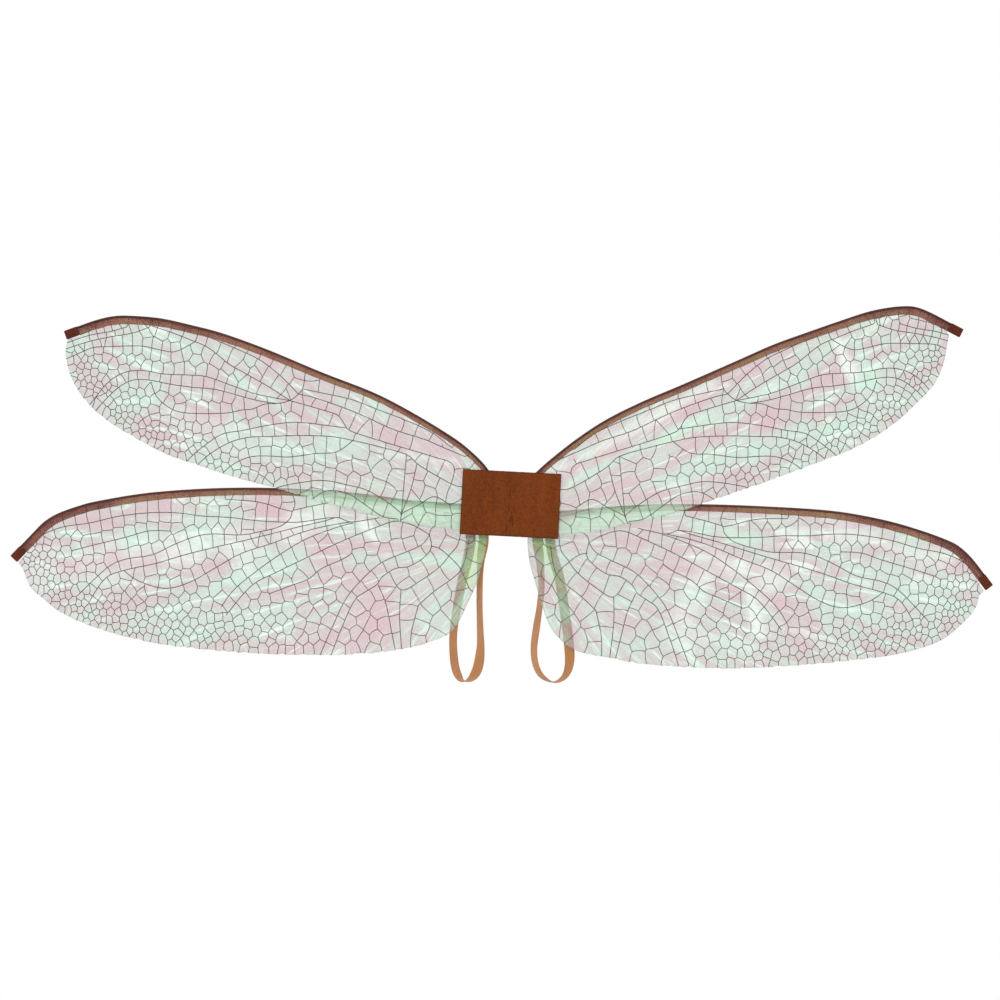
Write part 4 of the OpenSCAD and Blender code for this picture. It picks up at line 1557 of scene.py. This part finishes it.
class WINGS_OT_tips(bpy.types.Operator):
    """The folded suede cap on each wing tip"""

    bl_idname = "fairy_wings.tips"
    bl_label = "Tip caps"

    def execute(self, context):
        tone = colours().cap
        material = finish_for("Cap suede", lambda: suede_finish(
            "Cap suede", tone, shaded(tone, 1.35), 0.8))
        width = TAPE_TIP + 0.4
        for wing in WINGS:
            path = wing_path(wing)
            way = headings(path)[-1]
            across = film_side(way[None])[0]
            level = wing_level(wing)
            rings = []
            for row in range(CAP_ROWS + 1):
                t = row / CAP_ROWS
                at = path[-1] + way * (0.15 + t * (WRAP_LENGTH - 0.25))
                at = at + across * (width / 2 - WRAP_OVER)
                rings.append([
                    (wing_side(wing) * (at + across * u)[0], level + v, (at + across * u)[1])
                    for u, v in cap_section(t, width)])
            verts, faces = skin(rings)
            cap = mesh_object(wing + "_tip_cap", verts, faces, [material])
            edge = np.zeros(len(verts))
            edge[:CAP_POINTS] = 0.7
            edge[-CAP_POINTS:] = 0.7
            add_value(cap, "edge", edge)
            face_outwards(cap)
            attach(cap, wing + "_wing")
            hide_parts(wing + "_tip_wrap")
        return {"FINISHED"}


def ply_relief(u, v, height, seed):
    """How far the patch bulges at its middle crease and elsewhere, and the crease's share."""
    low_down = 0.35 + 0.65 * (0.5 - v / height)
    crease = math.exp(-(u / 5.5) ** 2) * low_down
    folds = crease * (
        0.36 * math.sin(u * 1.5 + noise.noise(Vector((v * 0.12, 2, 0))) * 3)
        + 0.34 * noise.noise(Vector((u * 0.5, v * 0.12, 11))))
    wave = noise.noise(Vector((u * 0.05, v * 0.05, seed)))
    return (folds + 0.14 * wave) * 0.9, crease


def ply_mesh(width, height, tilt, levels, front):
    """Points of both faces of a ply, and how dark the suede is at each: darker raw edges, and
    painted shade along the middle crease.
    """
    seed, outwards = (3, 1) if front else (8, -1)
    verts, shade = [], []
    for layer, level in enumerate(levels):
        for j in range(PLY_ROWS + 1):
            for i in range(PLY_COLUMNS + 1):
                u = (i / PLY_COLUMNS - 0.5) * width
                v = (j / PLY_ROWS - 0.5) * height
                rim = min(width / 2 - abs(u), height / 2 - abs(v))
                ragged = 0.25 if rim < 0.01 else 0.0
                u2 = u + ragged * noise.noise(Vector((v * 0.4, 1, layer)))
                v2 = v + ragged * noise.noise(Vector((u * 0.4, 5, layer)))
                x = u2 * math.cos(tilt) - v2 * math.sin(tilt)
                z = u2 * math.sin(tilt) + v2 * math.cos(tilt)
                bulge, crease = ply_relief(u, v, height, seed)
                soften = 0.18 - min(1.0, rim / 1.2) * 0.18
                y = level + soften * (-1 if layer else 1) + bulge * outwards
                verts.append((x, y, z))
                # Painted shade along the middle crease; the suede is also darker within 0.8 mm of
                # its raw edges.
                line = noise.noise(Vector((u * 0.75, v * 0.10, 21)))
                dark = min(0.6, crease * max(0.0, line) * 2.4)
                shade.append(max(dark, 1 - rim / 0.8, 0.0))
    return verts, shade


def ply_faces():
    """Faces of two grids of points, closed round their edges."""
    nx, nz = PLY_COLUMNS, PLY_ROWS

    def at(i, j, layer):
        return (layer * (nz + 1) + j) * (nx + 1) + i

    faces = []
    for j in range(nz):
        for i in range(nx):
            faces.append((at(i, j, 0), at(i + 1, j, 0), at(i + 1, j + 1, 0), at(i, j + 1, 0)))
            faces.append((at(i, j, 1), at(i, j + 1, 1), at(i + 1, j + 1, 1), at(i + 1, j, 1)))
    for i in range(nx):
        faces.append((at(i, 0, 0), at(i, 0, 1), at(i + 1, 0, 1), at(i + 1, 0, 0)))
        faces.append((at(i, nz, 0), at(i + 1, nz, 0), at(i + 1, nz, 1), at(i, nz, 1)))
    for j in range(nz):
        faces.append((at(0, j, 0), at(0, j + 1, 0), at(0, j + 1, 1), at(0, j, 1)))
        faces.append((at(nx, j, 0), at(nx, j, 1), at(nx, j + 1, 1), at(nx, j + 1, 0)))
    return faces


class WINGS_OT_patch(bpy.types.Operator):
    """The two suede plies of the back patch, each one piece across the fold"""

    bl_idname = "fairy_wings.patch"
    bl_label = "Patch"

    def execute(self, context):
        tone = colours().suede
        suede = finish_for("Patch suede", lambda: suede_finish(
            "Patch suede", tone, shaded(tone, 1.18)))
        lining = finish_for("Lining suede", lambda: suede_finish(
            "Lining suede", shaded(tone, 0.82), tone, 1.3))
        width, height = sizes().patch_width, sizes().patch_height
        tilt = math.radians(-sizes().patch_tilt)
        for name, node, material, front, bend in (
            ("patch_outer_ply", "outer_patch", suede, True, 5.0),
            ("patch_inner_ply", "inner_patch", lining, False, 12.0),
        ):
            low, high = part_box("right_" + node)
            levels = (low.y / MM, high.y / MM)
            verts, shade = ply_mesh(width, height, tilt, levels, front)
            ply = mesh_object(name, verts, ply_faces(), [material])
            # The edge value holds the darker raw edges and the painted crease shade.
            add_value(ply, "edge", shade)
            face_outwards(ply)
            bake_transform(ply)
            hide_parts("left_" + node, "right_" + node)
        return {"FINISHED"}


class WINGS_OT_ties(bpy.types.Operator):
    """The thread that binds the wire roots, between the plies"""

    bl_idname = "fairy_wings.ties"
    bl_label = "Root ties"

    def execute(self, context):
        material = finish_for("Sewing thread", thread_finish)
        for side in ("left", "right"):
            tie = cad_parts[side + "_root_tie"]
            for slot in tie.material_slots:
                slot.material = material
        return {"FINISHED"}


def strap_section(width, thick):
    """The ribbed elastic cut across: (across, through) from its middle."""
    section = []
    for face in (1, -1):
        for k in range(STRAP_COLUMNS + 1):
            q = (k / STRAP_COLUMNS * 2 - 1) * face
            edge = 1 - 0.35 * abs(q) ** 8
            rib = 0.05 * math.cos(k * math.pi)
            section.append((q * width / 2, face * (thick / 2 * edge + rib)))
    return section


def strap_path(side, top, short, level):
    """Points (away from the middle, height, level, turn) of a strap from end to end."""
    loop = LOOPS[side]
    head = [(loop[0][0], z, level, 0) for z in np.linspace(top, -30, 12)]
    tail = [(loop[-1][0], z, level, 180) for z in np.linspace(-30, short, 5)]
    return resample(smooth(head + [tuple(p) for p in loop] + tail, 6), 2.2)


class WINGS_OT_straps(bpy.types.Operator):
    """The elastic arm loops with both their sewn ends, each one ribbon"""

    bl_idname = "fairy_wings.straps"
    bl_label = "Arm loops"

    def execute(self, context):
        material = finish_for("Woven elastic", elastic_finish)
        for side, sign in SIDES.items():
            low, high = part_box(side + "_strap_long_end")
            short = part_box(side + "_strap_short_end")[1].z / MM
            level = (low.y + high.y) / 2 / MM
            path = strap_path(side, high.z / MM, short, level)
            across = film_side(headings(path))
            section = strap_section(sizes().strap_width, (high.y - low.y) / MM)
            rings, uv = [], []
            for p, n, along in zip(path, across, distances(path[:, :3])):
                turn = math.radians(p[3])
                c, s = math.cos(turn), math.sin(turn)
                ring = []
                for w, t in section:
                    plane = w * c - t * s
                    deep = w * s + t * c
                    ring.append((sign * (p[0] + plane * n[0]), p[2] + deep, p[1] + plane * n[1]))
                    uv.append((along * MM, w * MM))
                rings.append(ring)
            verts, faces = skin(rings)
            strap = mesh_object(side + "_elastic", verts, faces, [material])
            add_uv(strap, uv)
            face_outwards(strap)
            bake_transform(strap)
            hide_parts(side + "_strap_long_end", side + "_strap_short_end",
                        side + "_arm_loop")
        return {"FINISHED"}


def stitch_spots(x, face, top):
    """Where the stitches of one strap end go: a block at its top, and a row down each edge."""
    block = [(column * 2.6, -1.8 - row * 2.5) for row in range(3) for column in (-1, 0, 1)]
    rows = [(edge * 2.6, -8.6 - row * 2.6) for row in range(5) for edge in (-1, 1)]
    return [(x + across, face + 0.12, top + down) for across, down in block + rows]


class WINGS_OT_stitches(bpy.types.Operator):
    """The rows of stitches that hold the elastic to the patch"""

    bl_idname = "fairy_wings.stitches"
    bl_label = "Stitches"

    def execute(self, context):
        material = finish_for("Sewing thread", thread_finish)
        tree = shared_tree("Stitches", stitch_tree)
        for side, sign in SIDES.items():
            spots = []
            for node, end in (("_strap_long_end", 0), ("_strap_short_end", -1)):
                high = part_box(side + node)[1]
                spots += stitch_spots(sign * LOOPS[side][end][0], high.y / MM, high.z / MM)
            base = mesh_object(side + "_stitching", spots, [], [])
            grow(base, tree, {"Material": material, "Length": sizes().stitch * MM})
            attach(base, side + "_half")
            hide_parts(side + "_strap_stitches")
        return {"FINISHED"}


# ---------------------------------------------------------------------------
# Panel

class WINGS_PG_sizes(bpy.types.PropertyGroup):
    """Sizes in millimetres, and shares"""

    film_thickness: FloatProperty(
        name="Film thickness", description="Thickness of the film, in millimetres",
        default=0.3, min=0.05, max=0.6)
    film_opacity: FloatProperty(
        name="Film opacity", description="How much each face of the film hides",
        default=0.40, min=0.05, max=1.0, subtype="FACTOR")
    relief: FloatProperty(
        name="Film folds", description="Depth of the film's folds, in millimetres",
        default=1.0, min=0.0, max=1.5)
    cell: FloatProperty(
        name="Net cell", description="Usual width of the vein net's cells, in millimetres",
        default=11.8, min=6.0, max=20.0)
    vein_width: FloatProperty(
        name="Vein width", description="Width of a printed vein, in millimetres",
        default=0.74, min=0.3, max=1.5)
    main_vein: FloatProperty(
        name="Long veins", description="Width of the long veins against the others",
        default=1.12, min=0.5, max=2.0, subtype="FACTOR")
    ragged: FloatProperty(
        name="Ragged edge", description="Depth of the nicks in the free edge, in millimetres",
        default=2.2, min=0.0, max=5.0)
    seed: IntProperty(
        name="Net seed", description="Another number draws another net", default=21, min=0)
    tape_opacity: FloatProperty(
        name="Tape opacity", description="How much each face of the tape hides",
        default=0.46, min=0.05, max=1.0, subtype="FACTOR")
    wire: FloatProperty(
        name="Wire diameter", description="Diameter of the covered wire, in millimetres",
        default=2.0, min=1.0, max=3.0)
    patch_width: FloatProperty(
        name="Patch width", description="Width of the back patch, in millimetres",
        default=98.5, min=80.0, max=120.0)
    patch_height: FloatProperty(
        name="Patch height", description="Height of the back patch, in millimetres",
        default=65.0, min=50.0, max=80.0)
    patch_tilt: FloatProperty(
        name="Patch tilt", description="Turn of the patch, in degrees", default=2.9,
        min=0.0, max=5.0)
    strap_width: FloatProperty(
        name="Elastic width", description="Width of the arm loops, in millimetres",
        default=10.0, min=6.0, max=14.0)
    stitch: FloatProperty(
        name="Stitch length", description="Length of one stitch, in millimetres",
        default=1.9, min=1.0, max=3.0)
    room_light: FloatProperty(
        name="Room light", description="Brightness of the room", default=0.95, min=0.1, max=3.0)


def tone_property(name, description, rgb):
    """A colour given as it looks on a screen, from 0 to 255."""
    linear = tuple(((c / 255 + 0.055) / 1.055) ** 2.4 for c in rgb)
    return FloatVectorProperty(
        name=name, description=description, subtype="COLOR", default=linear, min=0.0, max=1.0)


class WINGS_PG_colours(bpy.types.PropertyGroup):
    """Colours of the pieces"""

    film_base: tone_property("Film", "The clear film's haze", (186, 185, 180))
    film_pink: tone_property("Film pink", "Pink bands of the film", (200, 140, 158))
    film_mint: tone_property("Film mint", "Mint bands of the film", (180, 236, 204))
    film_green: tone_property("Film green", "Strong green next to the patch", (120, 232, 160))
    film_lime: tone_property("Film lime", "Yellow green over the straps", (176, 234, 146))
    # Painted light where two films lie together.
    film_painted_overlap_light: tone_property("Film glow", "Where two films lie together", (220, 255, 228))
    # Painted white highlights of the film.
    film_painted_highlight: tone_property("Film gleam", "White gleams of the film", (236, 255, 242))
    vein: tone_property("Veins", "Printed vein lines", (44, 28, 26))
    tape: tone_property("Tape", "Sheer tape of the leading edge", (158, 98, 72))
    tape_red: tone_property("Tape, red", "Redder stretches of the tape", (116, 36, 18))
    tape_olive: tone_property("Tape, olive", "Golden stretches of the tape", (160, 120, 72))
    tape_fold: tone_property("Tape fold", "Dark fold of the tape", (62, 30, 20))
    wire: tone_property("Wire", "Covering of the wire", (42, 22, 16))
    cap: tone_property("Tip cap", "Suede on the wing tips", (92, 42, 28))
    suede: tone_property("Suede", "Suede of the back patch", (113, 54, 18))
    elastic: tone_property("Elastic", "Elastic of the arm loops", (200, 138, 84))
    thread: tone_property("Thread", "Sewing thread", (120, 70, 38))


class WINGS_PT_panel(bpy.types.Panel):
    """Buttons for every piece, with the sizes and colours"""

    bl_idname = "WINGS_PT_panel"
    bl_label = "Fairy wings"
    bl_space_type = "VIEW_3D"
    bl_region_type = "UI"
    bl_category = "Fairy wings"

    def draw(self, context):
        layout = self.layout
        for step in STEPS:
            layout.operator(step.bl_idname)
        for group in (context.scene.fairy_wing_sizes, context.scene.fairy_wing_colours):
            box = layout.box()
            for name in group.bl_rna.properties.keys():
                if name not in ("rna_type", "name"):
                    box.prop(group, name)


STEPS = (
    WINGS_OT_stage,
    WINGS_OT_films,
    WINGS_OT_veins,
    WINGS_OT_tapes,
    WINGS_OT_wires,
    WINGS_OT_tips,
    WINGS_OT_patch,
    WINGS_OT_ties,
    WINGS_OT_straps,
    WINGS_OT_stitches,
)
CLASSES = (WINGS_PG_sizes, WINGS_PG_colours, *STEPS, WINGS_PT_panel)


def register():
    for cls in CLASSES:
        bpy.utils.register_class(cls)
    bpy.types.Scene.fairy_wing_sizes = PointerProperty(type=WINGS_PG_sizes)
    bpy.types.Scene.fairy_wing_colours = PointerProperty(type=WINGS_PG_colours)


def unregister():
    del bpy.types.Scene.fairy_wing_sizes
    del bpy.types.Scene.fairy_wing_colours
    for cls in reversed(CLASSES):
        bpy.utils.unregister_class(cls)


def main():
    register()
    bpy.ops.fairy_wings.stage()
    bpy.ops.fairy_wings.films()
    bpy.ops.fairy_wings.veins()
    bpy.ops.fairy_wings.tapes()
    bpy.ops.fairy_wings.wires()
    bpy.ops.fairy_wings.tips()
    bpy.ops.fairy_wings.patch()
    bpy.ops.fairy_wings.ties()
    bpy.ops.fairy_wings.straps()
    bpy.ops.fairy_wings.stitches()


if __name__ == "__main__":
    main()
